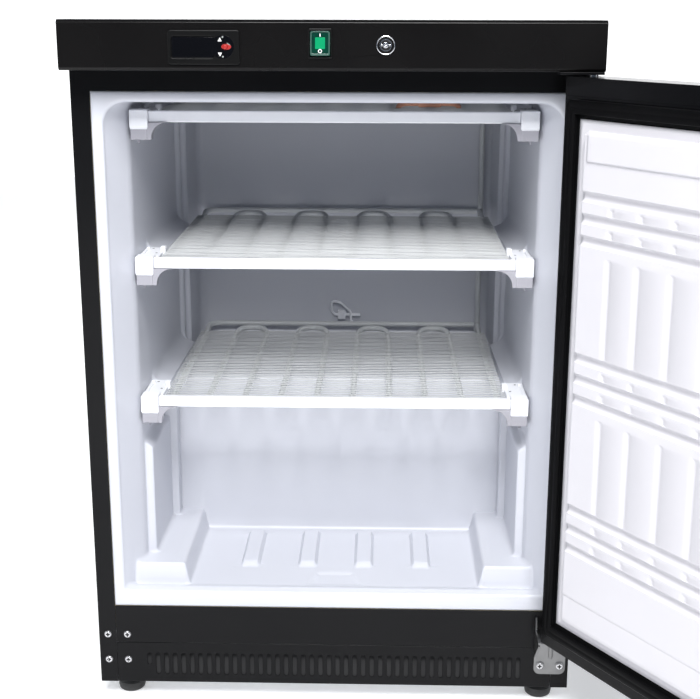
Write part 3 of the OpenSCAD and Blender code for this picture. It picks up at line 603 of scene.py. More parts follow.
def door_panel_shape():
    lo, hi = shut_corners("door_liner")
    plate, field = hi.y - 9, hi.y
    groups = [hi.z - 81, hi.z - 262, hi.z - 443]
    grooves = [top - 24 * i for top in groups for i in range(3)]
    lines = [s * x for s in (-1, 1) for x in (16.5, 64.5, 112.5, 160.5, 205)]
    line_half, line_deep = 4.5, 1.3
    groove_r, groove_rise = 6.5, 2
    step_z = hi.z - 43.8

    def depth(x, z):
        inside = min(hi.x - 14.5 - abs(x), z - lo.z - 11, hi.z - 11 - z)
        y = plate + (field - plate) * ramp(inside, 0, 3.6)
        y += 1.8 * ramp(z, step_z, step_z + 1.2) * ramp(inside, 0.5, 3.6) * ramp(hi.x - 22 - abs(x), 0, 4)
        y += 1.0 * ramp(z, lo.z + 47, lo.z + 49) * ramp(inside, 0, 3.6) - 1.0 * ramp(inside, 0, 3.6)
        cut = 0
        for c in grooves:
            if abs(z - c) < groove_r:
                cut = max(cut, sqrt(groove_r ** 2 - (z - c) ** 2) - groove_rise)
        for c in lines:
            if abs(x - c) < line_half:
                shallow = line_deep * (1 - ((x - c) / line_half) ** 2)
                for top, below in zip(groups, [*groups[1:], None]):
                    if below:
                        run = ramp(z, below + 1, below + 10) * (1 - ramp(z, top - 66, top - 63))
                        cut = max(cut, shallow * run)
                    for i in (1, 2):
                        tick = ramp(z, top - 24 * i + 6, top - 24 * i + 7) * (1 - ramp(z,
                            top - 24 * i + 13, top - 24 * i + 15))
                        cut = max(cut, shallow * tick)
        return max(plate - 1.2, y - cut) if inside > -2 else y

    edge = [0, 5, 9, 12.5, 14, 14.8, 15.6, 16.5, 17.4, 18.2, 20, 22, 23, 24, 25, 26.5, 30]
    xs = {s * (hi.x - e) for s in (-1, 1) for e in edge} | {0}
    for c in lines:
        xs |= {c + d for d in (-4.5, -3.6, -2.4, -1.2, 0, 1.2, 2.4, 3.6, 4.5, 9)}
    zs = {lo.z + e for e in (0, 5, 9, 10.5, 11.3, 12.2, 13.1, 14, 14.8, 20, 35, 46, 47, 47.7, 48.4, 49,
        52, 62)}
    zs |= {hi.z - e for e in (0, 5, 9, 10.5, 11.3, 12.2, 13.1, 14, 14.8, 16, 25, 35)}
    zs |= {step_z + e for e in (-1, 0, 0.3, 0.6, 0.9, 1.2, 2.5)}
    for c in grooves:
        zs |= {c + d for d in (-10, -8, -6.8, -6.2, -5.7, -4.7, -3.4, -1.8, 0, 1.8, 3.4, 4.7, 5.7, 6.2,
            6.8, 8, 11, 13)}
    for top in groups:
        zs |= {top - d for d in (62, 63.5, 65, 66.5, 80, 100, 130, 150, 170, 176)}
    zs = sorted(z for z in zs if lo.z <= z <= hi.z)
    xs = sorted(xs)
    rows = [[Vector((x, depth(x, z), z)) for x in xs] for z in zs]
    return skin(rows, close_start=False, close_end=False, around=False)


door_panel = piece("door_panel", [door_panel_shape()], DOOR_WHITE, ["door_liner"],
    body="door", smooth=50, shut=True)
wall = door_panel.modifiers.new("wall", "SOLIDIFY")
wall.thickness = 2.0 * MM
wall.offset = 1.0


def door_seal_shape():
    """Magnetic seal: a bellows and a flat magnet lip, swept round the door."""
    lo, hi = shut_corners("door_gasket")
    profile = [(1.2, 0), (0.3, 0.8), (1.6, 2.2), (0.3, 3.6), (1.6, 5.0), (0.2, 6.4), (0.5, 8.2),
        (1.6, 9.0), (7.5, 9.0), (8.3, 8.6), (9.1, 9.0), (14.2, 8.9), (15.4, 8.2), (15.6, 6.8),
        (13.8, 5.8), (15.9, 4.6), (14.0, 3.4), (16.5, 2.4), (19.2, 2.2), (20.3, 1.4), (20.5, 0)]
    w, h = hi.x - lo.x, hi.z - lo.z
    loops = []
    for inward, up in profile + profile[:1]:
        r = max(9 - inward, 1.0)
        outline = round_outline(0, (lo.z + hi.z) / 2, w - 2 * inward, h - 2 * inward, r, 5)
        loops.append([Vector((x, lo.y + up, z)) for x, z in outline])
    ring = skin(loops, False, False)
    bmesh.ops.remove_doubles(ring, verts=ring.verts, dist=0.001)
    bmesh.ops.recalc_face_normals(ring, faces=ring.faces)
    return ring


piece("door_seal", [door_seal_shape()], SEAL_BLACK, ["door_gasket"], body="door",
    smooth=60, shut=True)
for node in ("door_cap_top", "door_cap_bottom"):
    keep(node, DOOR_BLACK, edge=1.6, steps=3)
keep("door_skin", DOOR_BLACK, edge=0.5)
keep("door_handle", CASE_BLACK, edge=0.8)
keep("hinge_bushes", BUSH)
keep("door_foam", FOAM)

# ---------- Cabinet ----------

for node in ("side_panel_left", "side_panel_right", "top_rail"):
    keep(node, STEEL_BLACK)
keep("worktop", WORKTOP_BLACK, edge=2.0, steps=4)
keep("fascia", PANEL_BLACK, edge=1.2, steps=3, angle=30)
for node in ("back_panel", "base_tray", "bay_panel", "bay_crossbar"):
    keep(node, GALVANISED, edge=0.4)
keep("cabinet_foam", FOAM)
for node in NODES:
    if node.startswith("foot_"):
        keep(node, RUBBER)


def vent_panel():
    lo, hi = corners("vent_grille")
    count, pitch, low, tall, wide = 44, 11, lo.z + 11.5, 30, 5.6
    slots = []
    for i in range(count):
        x = (i - (count - 1) / 2) * pitch
        h = tall if i else tall * 0.55
        slots.append(round_outline(x, low + tall - h / 2, wide, h, wide / 2, 4))
    outline = round_outline(0, (lo.z + hi.z) / 2, hi.x - lo.x - 0.6, hi.z - lo.z - 0.6, 0.8, 2)
    return sheet_plate([outline, *slots], lo.y, hi.y, edge=0.45)


def vent_baffle():
    """Sloped sheet behind the slots, open along its upper edge."""
    lo, hi = corners("vent_grille")
    high, low = hi.z - 5, lo.z + 8
    left, right = -262, 248
    return side_plate([[(hi.y + 9, high), (hi.y + 9.8, high), (hi.y + 1.6, low), (hi.y + 0.8, low)]],
        left, right, 0.2)


def rail_panel():
    lo, hi = corners("lower_rail")
    return sheet_plate([round_outline(0, (lo.z + hi.z) / 2, hi.x - lo.x - 0.4, hi.z - lo.z - 0.4, 0.6,
        2)], lo.y, hi.y, 0.35)


even_normals(piece("vent_panel", [vent_panel()], STEEL_BLACK, ["vent_grille"]))
even_normals(piece("vent_baffle", [vent_baffle()], BAFFLE_GREY))
even_normals(piece("rail_panel", [rail_panel()], STEEL_BLACK, ["lower_rail"]))


screw_spots = []


def screw_head(x, y, z, r=4.5, tall=2.2):
    """Pan head facing the front, with a cross recess."""
    screw_spots.append((x, y, z))
    half, arm = 0.8, r * 0.56
    cross = [(half, half), (half, arm), (-half, arm), (-half, half), (-arm, half), (-arm, -half),
        (-half, -half), (-half, -arm), (half, -arm), (half, -half), (arm, -half), (arm, half)]
    crown = sheet_plate([circle(x, z, r * 0.86), [(x + a, z + b) for a, b in cross]], y - tall,
        y - tall + 1.2, 0.4, 3)
    return [crown, turned([(0, 0), (r, 0), (r, -0.6), (r * 0.93, -1.1), (r * 0.6, -1.3), (0, -1.3)],
        (x, y, z), "Y")]


def screws():
    lo, hi = corners("spare_screws")
    r = 4.5
    spare = [screw_head(x, lo.y + 2.2, z) for x in (lo.x + r, hi.x - r) for z in (lo.z + r, hi.z - r)]
    lo, hi = corners("hinge_screws")
    face = corners("bottom_hinge_bracket")[1].y - 2.5
    held = [screw_head(x, face, lo.z + r) for x in (lo.x + r, hi.x - r)]
    held += [screw_head(x, face - 0.5, hi.z - r) for x in (lo.x + r, hi.x - r)]
    # Dark discs at the foot of the cross recesses and dark rings round the base of each head: painted
    # shade in the recesses and under the heads.
    painted_recess_shade = []
    for x, y, z in screw_spots:
        painted_recess_shade.append(turned([(0, -1.3), (r * 0.62, -1.3), (r * 0.62, -1.42), (0, -1.42)], (x, y, z),
            "Y", 24))
        painted_recess_shade.append(turned([(r, 0), (r + 1.1, 0), (r + 1.0, -0.35), (r, -0.35)], (x, y, z), "Y", 32))
    piece("screw_recess_painted_shade", painted_recess_shade, LENS_BLACK)
    piece("spare_screw_heads", sum(spare, []), SCREW_STEEL, ["spare_screws"])
    piece("hinge_screw_heads", sum(held, []), SCREW_STEEL, ["hinge_screws"])


screws()


def bottom_bracket():
    lo, hi = corners("bottom_hinge_bracket")
    pin_lo, pin_hi = corners("hinge_pins")
    px, py, pr = (pin_lo.x + pin_hi.x) / 2, (pin_lo.y + pin_hi.y) / 2, (pin_hi.x - pin_lo.x) / 2
    plate, flange_top = 2.5, lo.z + 62
    face = [(hi.x, flange_top), (lo.x, flange_top)]
    for cx, start in ((lo.x + 8, pi), (hi.x - 8, 1.5 * pi)):
        face += [(cx + 8 * cos(start + pi / 2 * i / 5), lo.z + 8 + 8 * sin(start + pi / 2 * i / 5))
            for i in range(6)]
    arm = [(hi.x, hi.y), (lo.x, hi.y), (lo.x, lo.y + 10)]
    arm += [(px + 11 * cos(pi + pi * i / 8), py + 1 + 11 * sin(pi + pi * i / 8)) for i in range(9)]
    arm = [(min(hi.x, max(lo.x, x)), max(lo.y, y)) for x, y in arm]
    wing = [(hi.y, lo.z + 12), (hi.y, hi.z), (hi.y - 5, hi.z), (hi.y - 9, flange_top),
        (lo.y + 8, flange_top - 3), (hi.y - plate, lo.z + 24)]
    rib_x = lo.x + 21
    rib = [(rib_x + 3 * cos(a), (hi.y - plate) + 0.4 - 2.0 * max(0, sin(a)))
        for a in (pi * i / 10 for i in range(11))]
    rib_loops = []
    for z, s in ((lo.z + 21, 0.05), (lo.z + 22.5, 0.7), (lo.z + 25, 1), (lo.z + 52, 1), (lo.z + 56, 0.8),
            (lo.z + 58, 0.1)):
        rib_loops.append([Vector((rib_x + (x - rib_x) * s, hi.y - plate + 0.4 - (hi.y - plate + 0.4 - y)
            * s, z)) for x, y in rib])
    dimples = [turned([(0, 0), (6.4, 0), (5.6, -0.5), (4.9, -0.6), (0, -0.6)],
        (x, hi.y - plate, lo.z + 12), "Y") for x in (lo.x + 7.6, hi.x - 7.4)]
    return [sheet_plate([face], hi.y - plate, hi.y, 0.5), plan_plate([arm, circle(px, py, pr)],
        flange_top - 3, flange_top, 0.5), side_plate([wing], lo.x, lo.x + 2, 0.4), skin(rib_loops),
        *dimples]


piece("bottom_hinge_plate", bottom_bracket(), ZINC, ["bottom_hinge_bracket"])
keep("top_hinge_bracket", STEEL_BLACK, edge=0.6)
keep("hinge_pins", SCREW_STEEL)

# ---------- Control panel ----------


PANEL_Y = corners("fascia")[0].y


def controller_key(key, x, z, top, face):
    """One key's cap, with the marks printed on it and beside it."""
    red = key == "key_set"
    dome = turned([(0, 5), (2.6, 5), (2.6, 0.7), (2.3, 0.25), (1.6, 0.05), (0, 0)], (x, top, z), "Y", 28)
    if red:
        oval = sheet_plate([ellipse(x + 1.1, z + 0.2, 5.4, 3.1), circle(x, z, 2.8)], face - 0.3,
            face + 0.4, 0.15)
        stroke = sheet_plate([[(x + 2.2, z + 4.4), (x + 5.6, z + 2.1), (x + 5.2, z + 1.6),
            (x + 1.8, z + 3.9)]], face - 0.45, face, 0.05, 1)
        piece("set_mark", [oval], KEY_RED)
        piece("set_mark_stroke", [stroke], MARK_GREY)
    piece(key + "_cap", [dome], KEY_RED if red else KEY_DARK, [key],
        body={"key_up": "up_key", "key_down": "down_key", "key_set": "set_key"}[key])
    if not red:
        way = 1 if key == "key_up" else -1
        arrow = [(x - 2.2, z - 1.5 * way), (x + 2.2, z - 1.5 * way), (x + 0.1, z + 2.6 * way)]
        piece(key + "_mark", [sheet_plate([arrow], top - 0.4, top + 0.3, 0.02, 1)], MARK_WHITE,
            body="up_key" if way > 0 else "down_key")
        dot = sheet_plate([circle(x + 2.9, z + 2.9 * way, 1.0, 20)], face - 0.25, face + 0.3, 0.05, 1)
        piece(key + "_dot", [dot], MARK_GREY)


def thermostat():
    lo, hi = corners("thermostat_case")
    lens_lo, lens_hi = corners("thermostat_lens")
    cx, cz = (lo.x + hi.x) / 2, (lo.z + hi.z) / 2
    face, wall_y = lo.y, PANEL_Y
    keys = {k: corners(k) for k in ("key_up", "key_down", "key_set")}
    spots = {k: ((a.x + b.x) / 2, (a.z + b.z) / 2) for k, (a, b) in keys.items()}
    outer = round_outline(cx, cz, hi.x - lo.x, hi.z - lo.z, 3.5)
    lens_x, lens_z = (lens_lo.x + lens_hi.x) / 2, (lens_lo.z + lens_hi.z) / 2
    lens_w, lens_h = lens_hi.x - lens_lo.x, lens_hi.z - lens_lo.z
    holes = [round_outline(lens_x, lens_z, lens_w + 0.8, lens_h + 0.8, 2.4)]
    holes += [circle(x, z, 2.9) for x, z in spots.values()]
    frame_plate = sheet_plate([outer, *holes], face, wall_y + 0.6, 1.2, 4)
    key_x = sum(x for x, z in spots.values()) / 3 + 0.6
    key_z = sum(z for x, z in spots.values()) / 3
    pad = sheet_plate([circle(key_x, key_z, 12.6, 56), *holes[1:]], face - 0.12, face + 0.5, 0.1, 1)
    even_normals(piece("controller_key_pad", [pad], LENS_BLACK))
    floor_plate = sheet_plate([round_outline(cx, cz, hi.x - lo.x - 4, hi.z - lo.z - 4, 2)], wall_y - 0.4,
        wall_y + 0.6, 0.2)
    body = block((cx - 35.5, wall_y + 2.5, cz - 14.5), (cx + 35.5, wall_y + 38, cz + 14.5), 1.5)
    even_normals(piece("controller_case", [frame_plate, floor_plate, body], CASE_BLACK,
        ["thermostat_case"]))
    lens = sheet_plate([round_outline(lens_x, lens_z, lens_w, lens_h, 2)], face - 0.05, wall_y - 0.5, 0.4,
        3)
    even_normals(piece("controller_window", [lens], LENS_BLACK, ["thermostat_lens"]))
    for key, (x, z) in spots.items():
        controller_key(key, x, z, keys[key][0].y, face)


thermostat()


def power_switch():
    lo, hi = corners("switch_bezel")
    cx, cz = (lo.x + hi.x) / 2, (lo.z + hi.z) / 2
    w, h = hi.x - lo.x, hi.z - lo.z
    hole = round_outline(cx, cz, w - 4.4, h - 4.9, 1.0)
    rim = sheet_plate([round_outline(cx, cz, w, h, 2.4), hole], lo.y, PANEL_Y + 0.6, 0.7, 3)
    inner_wall = sheet_plate([round_outline(cx, cz, w - 1.8, h - 1.8, 1.2), hole], PANEL_Y + 0.4,
        PANEL_Y + 25, 0.2)
    even_normals(piece("switch_frame", [rim, inner_wall], CASE_BLACK, ["switch_bezel"]))

    half_h, half_w = 13.3, 10.95
    steps = 14

    def facing(z):
        return -3.6 - 0.5 * (z / half_h) ** 2

    front = []
    for i in range(steps + 1):
        z = -half_h + 2 * half_h * i / steps
        front.append((facing(z), z))
    outline = [(5.0, -8.5), (-3.3, -half_h - 0.02), *front, (-3.3, half_h + 0.02), (5.0, 8.5)]
    loops = []
    for x, inset in ((-half_w, 0.7), (-half_w + 0.25, 0.25), (-half_w + 0.8, 0), (half_w - 0.8, 0),
            (half_w - 0.25, 0.25), (half_w, 0.7)):
        loops.append([Vector((x, y + (inset if y < 0 else 0), z * (1 - inset / half_h))) for y,
            z in outline])
    tilt = Matrix.Translation((cx, PANEL_Y + 2, cz)) @ Matrix.Rotation(radians(-8), 4, "X")
    pins = turned([(1.2, -12.2), (1.2, 12.2)], (0, 0, 0), "X", 20)
    piece("rocker_body", [moved(skin(loops), tilt), moved(pins, tilt)], ROCKER_GREEN,
        ["switch_rocker"], body="rocker", smooth=30)

    def bent_plate(x0, x1, z0, z1, lift, r=0.8):
        """A thin plate that follows the rocker's hollow front."""
        plate = sheet_plate([round_outline((x0 + x1) / 2, (z0 + z1) / 2, x1 - x0, z1 - z0, r, 4)], -0.2,
            0.2, 0.1, 1)
        bmesh.ops.subdivide_edges(plate, edges=[e for e in plate.edges if e.calc_length() > 3], cuts=3)
        for v in plate.verts:
            v.co.y += facing(v.co.z) - lift
        return moved(plate, tilt)

    piece("rocker_lamp", [bent_plate(-5.4, 5.4, -5.9, 6.4, 0.05)], LAMP_GREEN,
        body="rocker")
    bar = bent_plate(-0.5, 0.5, 7.2, 10.4, 0.1, 0.2)
    # Raised ring round the rocker's face in the lighter rim tone, which paints the highlight along the
    # rim.
    rim_plate = sheet_plate([round_outline(0, 0, 21.4, 26.2, 2.4, 5), round_outline(0, 0.4, 18.2, 22.6,
        1.8, 5)], -0.5, 0.2, 0.3, 2)
    for v in rim_plate.verts:
        v.co.y += facing(v.co.z)
    even_normals(piece("rocker_rim_highlight", [moved(rim_plate, tilt)], ROCKER_RIM_HIGHLIGHT,
        body="rocker"))
    ring = sheet_plate([circle(0, -8.3, 2.15, 28), circle(0, -8.3, 1.4, 28)], -0.25, 0.2, 0.03, 1)
    for v in ring.verts:
        v.co.y += facing(v.co.z) - 0.05
    piece("rocker_marks", [bar, moved(ring, tilt)], MARK_WHITE, body="rocker")


power_switch()


def door_lock():
    lo, hi = corners("lock_housing")
    cx, cz = (lo.x + hi.x) / 2, (lo.z + hi.z) / 2
    ring = turned([(8.8, lo.y + 1.4), (8.9, lo.y + 0.7), (9.2, lo.y + 0.2), (9.6, lo.y),
        (10.1, lo.y + 0.15), (10.4, lo.y + 0.6), (10.5, lo.y + 2.5), (8.8, lo.y + 2.6)], (cx, 0, cz), "Y",
        64)
    well = turned([(6.06, lo.y + 1.5), (7.4, lo.y + 1.2), (8.8, lo.y + 1.1), (8.8, lo.y + 2.6),
        (8.9, lo.y + 2.6), (8.9, hi.y), (6.06, hi.y)], (cx, 0, cz), "Y", 64)
    piece("lock_ring", [ring], CHROME, ["lock_housing"], smooth=30)
    piece("lock_well", [well], CASE_BLACK, smooth=30)
    face = corners("lock_barrel")[0].y + 0.6
    slot = [(cx + a, cz + b) for a, b in ((3.4, 0.75), (-3.4, 0.75), (-3.4, -0.75), (3.4, -0.75))]
    front = sheet_plate([circle(cx, cz, 5.9, 48), slot], face, face + 8, 0.35, 3)
    barrel = turned([(0, face + 8), (5.9, face + 8), (5.9, corners("lock_barrel")[1].y),
        (0, corners("lock_barrel")[1].y)], (cx, 0, cz), "Y", 48)
    piece("lock_core", [front, barrel], LOCK_DARK, ["lock_barrel"], body="lock_plug")
    key_hole = [(cx + a, cz + b) for a, b in ((1.5, 0.5), (-1.5, 0.5), (-1.5, -0.5), (1.5, -0.5))]
    dust = sheet_plate([circle(cx, cz, 3.1, 32), key_hole], face - 0.7, face + 0.3, 0.35, 3)
    lugs = [block((cx + a - 1.0, face - 0.4, cz - 1.0), (cx + a + 1.0, face + 0.3, cz + 1.0),
        0.4) for a in (-4.4, 4.4)]
    piece("lock_shutter", [dust, *lugs], CHROME, body="lock_plug")
    keep("lock_cam", CAM_STEEL, edge=0.5)


door_lock()

# ---------- Shelves ----------


def wire_mat(level):
    """Thin wires across the tube, each a little wavy. None lies at the very back, where the bends rise."""
    lo, hi = corners(f"shelf_wires_{level}")
    r, pitch = 0.75, 8
    count = round((hi.y - lo.y - 2) / pitch) - 1
    wires = []
    for i in range(count):
        path = [(lo.x + (hi.x - lo.x) * k / 12, lo.y + 1 + pitch * i, hi.z - r - 0.5 + 0.15
            * sin(2.1 * i + 1.3 * k)) for k in range(13)]
        wires.append(tube(path, r, 8))
    return wires


def evaporator_run(level):
    """The tube's runs and bends under the wires, with the back bends and the tail raised."""
    lo, hi = corners(f"evaporator_{level}")
    riser = corners("evaporator_riser")
    wires = corners(f"shelf_wires_{level}")
    r = (hi.z - lo.z) / 2
    runs = 10
    end = (riser[0].x + riser[1].x) / 2
    pitch = 2 * end / (runs - 1)
    front, back, wall_y = wires[0].y + 26, wires[1].y - 21, (riser[0].y + riser[1].y) / 2

    path = [(end, wall_y - 4), (end, back), (end, 0)]
    for i in range(runs - 1):
        x = end - pitch * (i + 0.5)
        turn_y, way = (front, -1) if i % 2 == 0 else (back, 1)
        for k in range(13):
            a = pi * k / 12
            path.append((x + pitch / 2 * cos(a), turn_y + way * pitch / 2 * sin(a)))
        if i < runs - 2:
            path.append((x - pitch / 2, (front + back) / 2))
    tail = 20
    path += [(-end, 0), (-end, back)]
    for k in range(9):
        a = pi / 2 * k / 8
        path.append((tail - end - tail * cos(a), wall_y - tail + tail * sin(a)))
    path += [(0, wall_y), (end - 5, wall_y)]
    z = (lo.z + hi.z) / 2
    return tube([(x, y, z + 6.5 * ramp(y, back - 4, back + 19)) for x, y in path], r, 12)


def shelf_pieces(level):
    z = SHELF_Z[level]
    lo, hi = corners(f"shelf_trim_{level}")
    strip = block(lo, hi, 1.8, 4)
    inner = block((lo.x + 4, hi.y - 1.5, lo.z + 2.5), (hi.x - 4, hi.y + 3.5, z - 1.0), 0.6)
    even_normals(piece(f"shelf_strip_{level}", [strip, inner], SHELF_WHITE,
        [f"shelf_trim_{level}"]))
    piece(f"shelf_wire_mat_{level}", wire_mat(level), WIRE_WHITE, [f"shelf_wires_{level}"])
    piece(f"evaporator_tube_{level}", [evaporator_run(level)], TUBE_WHITE,
        [f"evaporator_{level}"])


for level in LEVELS:
    shelf_pieces(level)
keep("evaporator_riser", TUBE_WHITE)


def bracket_shapes(z, side):
    """A moulded bracket: cap over the strip's end, block below it, curved web and arm."""
    y0 = corners("shelf_trim_top")[0].y
    inner = corners("shelf_trim_top")[1].x
    cap = block((inner, y0 - 5, z - 20.5), (inner + 21.8, y0 + 17, z + 1.5), 1.4, 3)
    low = block((inner + 1.2, y0 - 3.2, z - 34), (inner + 21, y0 + 16, z - 19), 1.2, 3)
    web = [(inner - 22.5 + 19 * sin(a), z - 32 + 18.5 * cos(a)) for a in (pi / 2 * i / 10
        for i in range(11))]
    web = [*web, (inner - 3.5, z - 33.8), (inner + 6, z - 33.8), (inner + 6, z - 13.5)]
    web = sheet_plate([web], y0 - 2.4, y0 + 12, 0.7, 3)
    arm = block((inner - 3.5, y0 + 15, z - 12.5), (inner + 22.3, y0 + 79, z - 1.5), 1.0)
    tab = block((inner - 6.5, y0 + 51, z - 6), (inner, y0 + 61, z + 4.2), 1.0)
    stud = block((inner + 15, y0 + 62, z - 3), (inner + 19, y0 + 67, z + 1.5), 1.0)
    lip = block((inner + 16.5, y0 + 14, z - 3), (inner + 19, y0 + 60, z - 0.3), 0.5)
    pin = turned([(0, -37.5), (1.3, -37.5), (1.6, -36.9), (1.6, -33.5), (0, -33.5)],
        (inner + 12, y0 + 2, z), "Z", 16)
    rim = block((inner + 1.0, y0 - 3.6, z - 21.4), (inner + 21.4, y0 + 1, z - 20.2), 0.4, 2)
    # The lower block, web and pin are kept apart from the cap so that they take the painted-shade copy of
    # the white.
    return ([on_side(p, side) for p in (cap, arm, tab, stud, lip, rim)], [on_side(p, side) for p in (low,
        web, pin)])


def brackets():
    inner, y0 = corners("shelf_trim_top")[1].x, corners("shelf_trim_top")[0].y
    for name, side in (("left", -1), ("right", 1)):
        made = [bracket_shapes(z, side) for z in SHELF_Z.values()]
        even_normals(piece(f"shelf_bracket_mouldings_{name}", [p for caps, low in made for p in caps],
            SHELF_WHITE, [f"shelf_brackets_{name}"]))
        # Lower block, web and pin in the darker white: painted shade under the caps.
        even_normals(piece(f"shelf_bracket_shaded_parts_{name}", [p for caps, low in made for p in low],
            BRACKET_SHADED_WHITE))
        holes = []
        for z in SHELF_Z.values():
            for x, y in ((inner + 3, y0 + 40), (inner + 12, y0 + 70)):
                holes.append(turned([(0, -0.6), (1.5, -0.6), (1.5, 0.15), (0, 0.15)],
                    (side * x, y, z - 1.5), "Z", 20))
        piece(f"bracket_pin_ends_{name}", holes, CASE_BLACK)


brackets()


def probe():
    lo, hi = corners("temperature_probe")
    clip_x1 = lo.x + 12
    mid_z = (lo.z + hi.z) / 2
    clip = block((lo.x, lo.y, lo.z), (clip_x1, hi.y, hi.z), 1.2)
    groove = tube([(lo.x - 6, hi.y - 5, mid_z), (lo.x + 4, hi.y - 5, mid_z),
        (clip_x1 + 8, hi.y - 5, mid_z), (hi.x - 1, hi.y - 5, mid_z), (hi.x, hi.y - 5, mid_z)],
        [1.6, 2.5, 2.5, 2.5, 1.2], 16)
    piece("probe_clip", [clip, groove], SHELF_WHITE, ["temperature_probe"])
    lead = rounded_route([(lo.x - 4, hi.y - 5, mid_z), (lo.x - 9, hi.y - 5, mid_z + 5),
        (lo.x - 10, hi.y - 7, mid_z + 22), (lo.x + 4, hi.y - 9, mid_z + 20),
        (lo.x + 20, hi.y - 7, mid_z + 5), (lo.x + 20, hi.y - 6, mid_z - 12),
        (lo.x + 40, hi.y - 6, mid_z - 16)], 8)
    piece("probe_lead", [tube(lead, 1.9, 12)], SHELF_WHITE)


probe()


def evaporator_joint():
    """Copper joint of the tubes, just above the top shelf."""
    x, y, z = 77, -122, SHELF_Z["top"] + 3.5
    route = rounded_route([(x, y + 30, z - 13), (x, y, z), (x + 75, y, z), (x + 75, y + 30, z - 13)], 14)
    sleeve = tube([(x + 24, y, z), (x + 25, y, z), (x + 52, y, z), (x + 53, y, z)], [3.2, 4.6, 4.6, 3.2],
        16)
    piece("evaporator_joint", [tube(route, 3.2, 14), sleeve], COPPER_DULL)


evaporator_joint()

# ---------- Refrigeration at the back ----------


def refrigeration():
    lo, hi = corners("compressor")
    for node, material in (("compressor", POT_BLACK), ("compressor_grommets", RUBBER),
            ("condenser", TUBE_BLACK), ("filter_drier", COPPER), ("cord_gland", RUBBER)):
        keep(node, material)
    keep("condenser_clips", CASE_BLACK, edge=0.5)
    cx, cy, pot_r = (lo.x + hi.x) / 2 + 1.5, (lo.y + hi.y) / 2, 78
    seam = turned([(pot_r + 0.2, lo.z + 84), (pot_r + 1.6, lo.z + 86), (pot_r + 1.6, lo.z + 92),
        (pot_r + 0.2, lo.z + 94)], (cx, cy, 0), "Z", 72)
    piece("compressor_weld", [seam], POT_BLACK)
    t_lo, t_hi = corners("terminal_cover")
    cover = block(t_lo, t_hi, 4, 4)
    latch = block(((t_lo.x + t_hi.x) / 2 - 6, t_lo.y - 1.2, t_hi.z - 14),
        ((t_lo.x + t_hi.x) / 2 + 6, t_lo.y + 2, t_hi.z - 4), 0.8)
    ribs = [block((t_lo.x + 8 + 8 * i, t_lo.y - 0.8, t_lo.z + 6), (t_lo.x + 11 + 8 * i, t_lo.y + 1,
        t_lo.z + 24), 0.4) for i in range(6)]
    piece("terminal_box", [cover, latch, *ribs], CASE_BLACK, ["terminal_cover"])

    d_lo, d_hi = corners("filter_drier")
    d_y, d_z = (d_lo.y + d_hi.y) / 2, (d_lo.z + d_hi.z) / 2
    c_lo, c_hi = corners("condenser")
    back = corners("bay_crossbar")[1].y
    panel_top = corners("bay_panel")[1].z
    y_run = (back + c_lo.y) / 2 + 4
    discharge = rounded_route([(lo.x + 4, cy - 20, lo.z + 50), (lo.x - 14, cy - 20, lo.z + 50),
        (lo.x - 14, y_run - 6, lo.z + 50), (lo.x - 14, y_run, lo.z + 60),
        (lo.x - 14, y_run, panel_top + 20), (-c_hi.x + 22, y_run, panel_top + 20),
        (-c_hi.x + 22, y_run, c_lo.z + 10)], 12)
    suction = rounded_route([(lo.x + 4, cy + 20, lo.z + 118), (lo.x - 26, cy + 20, lo.z + 118),
        (lo.x - 26, back - 26, lo.z + 118), (lo.x - 26, back - 26, panel_top - 3)], 16)
    outlet = rounded_route([(d_hi.x - 2, d_y, d_z), (d_hi.x + 22, d_y, d_z),
        (d_hi.x + 22, back - 40, d_z), (d_hi.x + 22, back - 40, panel_top - 2)], 12)
    coil_r, coil = 15, []
    for i in range(73):
        a = 2 * pi * 3 * i / 72
        coil.append(Vector((d_lo.x - 34 + coil_r * cos(a), d_y + coil_r * sin(a), d_z + 18 + i * 0.11)))
    capillary = [*rounded_route([(d_lo.x + 2, d_y, d_z), (d_lo.x - 16, d_y, d_z), coil[0]], 6), *coil[1:],
        *rounded_route([coil[-1] + Vector((0.2, 4, 0.2)), coil[-1] + Vector((0, 12, 20)),
        coil[-1] + Vector((0, 12, 60)), (coil[-1].x, d_y + 30, panel_top - 2)], 10)]
    piece("discharge_pipe", [tube(discharge, 2.4, 12)], TUBE_BLACK)
    piece("suction_pipe", [tube(suction, 3.9, 14)], COPPER)
    piece("drier_pipe", [tube(outlet, 2.4, 12)], COPPER)
    piece("capillary_pipe", [tube(capillary, 0.9, 8)], COPPER)


refrigeration()

# ---------- Floor, light and camera ----------


def stage_sheet(name, points, material):
    """A flat sheet of the studio, which isn't part of the object."""
    mesh = bpy.data.meshes.new(name)
    mesh.from_pydata(points, [], [(0, 1, 2, 3)])
    mesh.materials.append(material)
    show(bpy.data.objects.new(name, mesh))


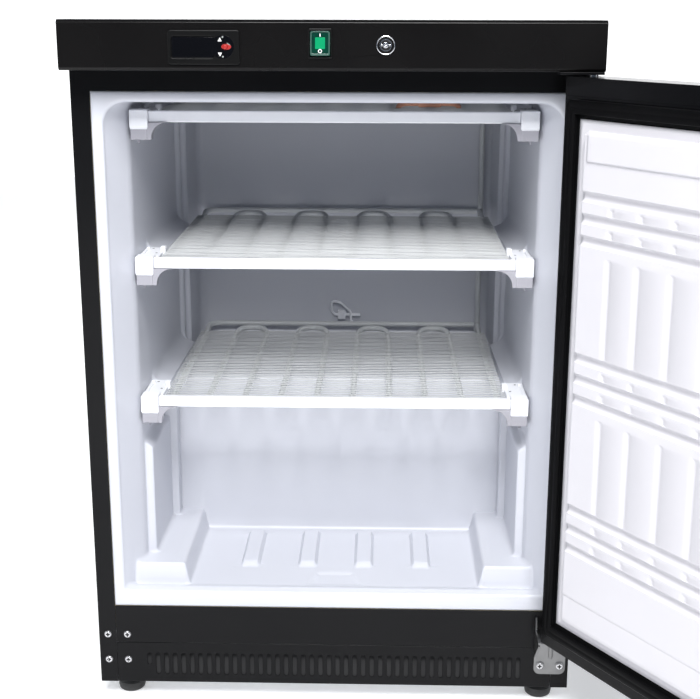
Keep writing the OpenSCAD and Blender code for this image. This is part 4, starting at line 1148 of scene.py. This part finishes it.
PAPER = finish("studio_paper", (0.86, 0.86, 0.87), (0.88, 0.88, 0.89), (0.75, 0.85), grain=60, depth=0.02,
    mottle=3)
paper_shader = PAPER.node_tree.nodes["Principled BSDF"]
paper_shader.inputs["Emission Color"].default_value = (1, 1, 1, 1)
paper_shader.inputs["Emission Strength"].default_value = 0.32
stage_sheet("studio_floor", [(-9, -7, 0), (9, -7, 0), (9, 11, 0), (-9, 11, 0)], PAPER)
BACKDROP = glow("lit_backdrop", (1, 1, 1), 1.0, 0.5, 0.52)
stage_sheet("studio_backdrop", [(-9, 5, 0), (9, 5, 0), (9, 5, 6), (-9, 5, 6)], BACKDROP)


def area_light(name, at, target, size, power, colour=(1, 1, 1)):
    light = bpy.data.lights.new(name, "AREA")
    light.shape = "RECTANGLE"
    light.size, light.size_y = size
    light.energy = power
    light.color = colour
    o = show(bpy.data.objects.new(name, light))
    o.location = at
    o.rotation_euler = (Vector(target) - Vector(at)).to_track_quat("-Z", "Y").to_euler()


area_light("key", (0.1, -2.4, 2.8), (0, -0.1, 0.35), (1.2, 1.3), 168)
area_light("left_fill", (-2.6, -0.8, 1.5), (0, 0, 0.5), (1.6, 2.0), 14)
area_light("right_fill", (2.6, 0.9, 1.7), (0.2, 0, 0.5), (1.6, 2.0), 16)
area_light("back_fill", (-0.4, 3.0, 2.2), (0, 0.2, 0.5), (2.4, 1.6), 40)

world = bpy.data.worlds.new("studio")
world.use_nodes = True
nodes, links = world.node_tree.nodes, world.node_tree.links
seen = nodes["Background"]
seen.inputs["Color"].default_value = (1, 1, 1, 1)
seen.inputs["Strength"].default_value = 1.0
room = nodes.new("ShaderNodeBackground")
room.inputs["Color"].default_value = (0.55, 0.72, 1.0, 1)
room.inputs["Strength"].default_value = 0.15
path = nodes.new("ShaderNodeLightPath")
either = nodes.new("ShaderNodeMixShader")
links.new(path.outputs["Is Camera Ray"], either.inputs["Fac"])
links.new(room.outputs["Background"], either.inputs[1])
links.new(seen.outputs["Background"], either.inputs[2])
links.new(either.outputs["Shader"], nodes["World Output"].inputs["Surface"])
bpy.context.scene.world = world
bpy.context.scene.view_settings.view_transform = "Standard"

camera = show(bpy.data.objects.new("camera", bpy.data.cameras.new("camera")))
camera.data.lens = 65.35
camera.data.sensor_width = 36
camera.location = (0.056, -1.7202, 0.8666)
camera.rotation_euler = (Matrix.Rotation(radians(1.379), 3, "Z") @ Matrix.Rotation(radians(74.984), 3,
    "X") @ Matrix.Rotation(radians(0.132), 3, "Z")).to_euler()
bpy.context.scene.camera = camera
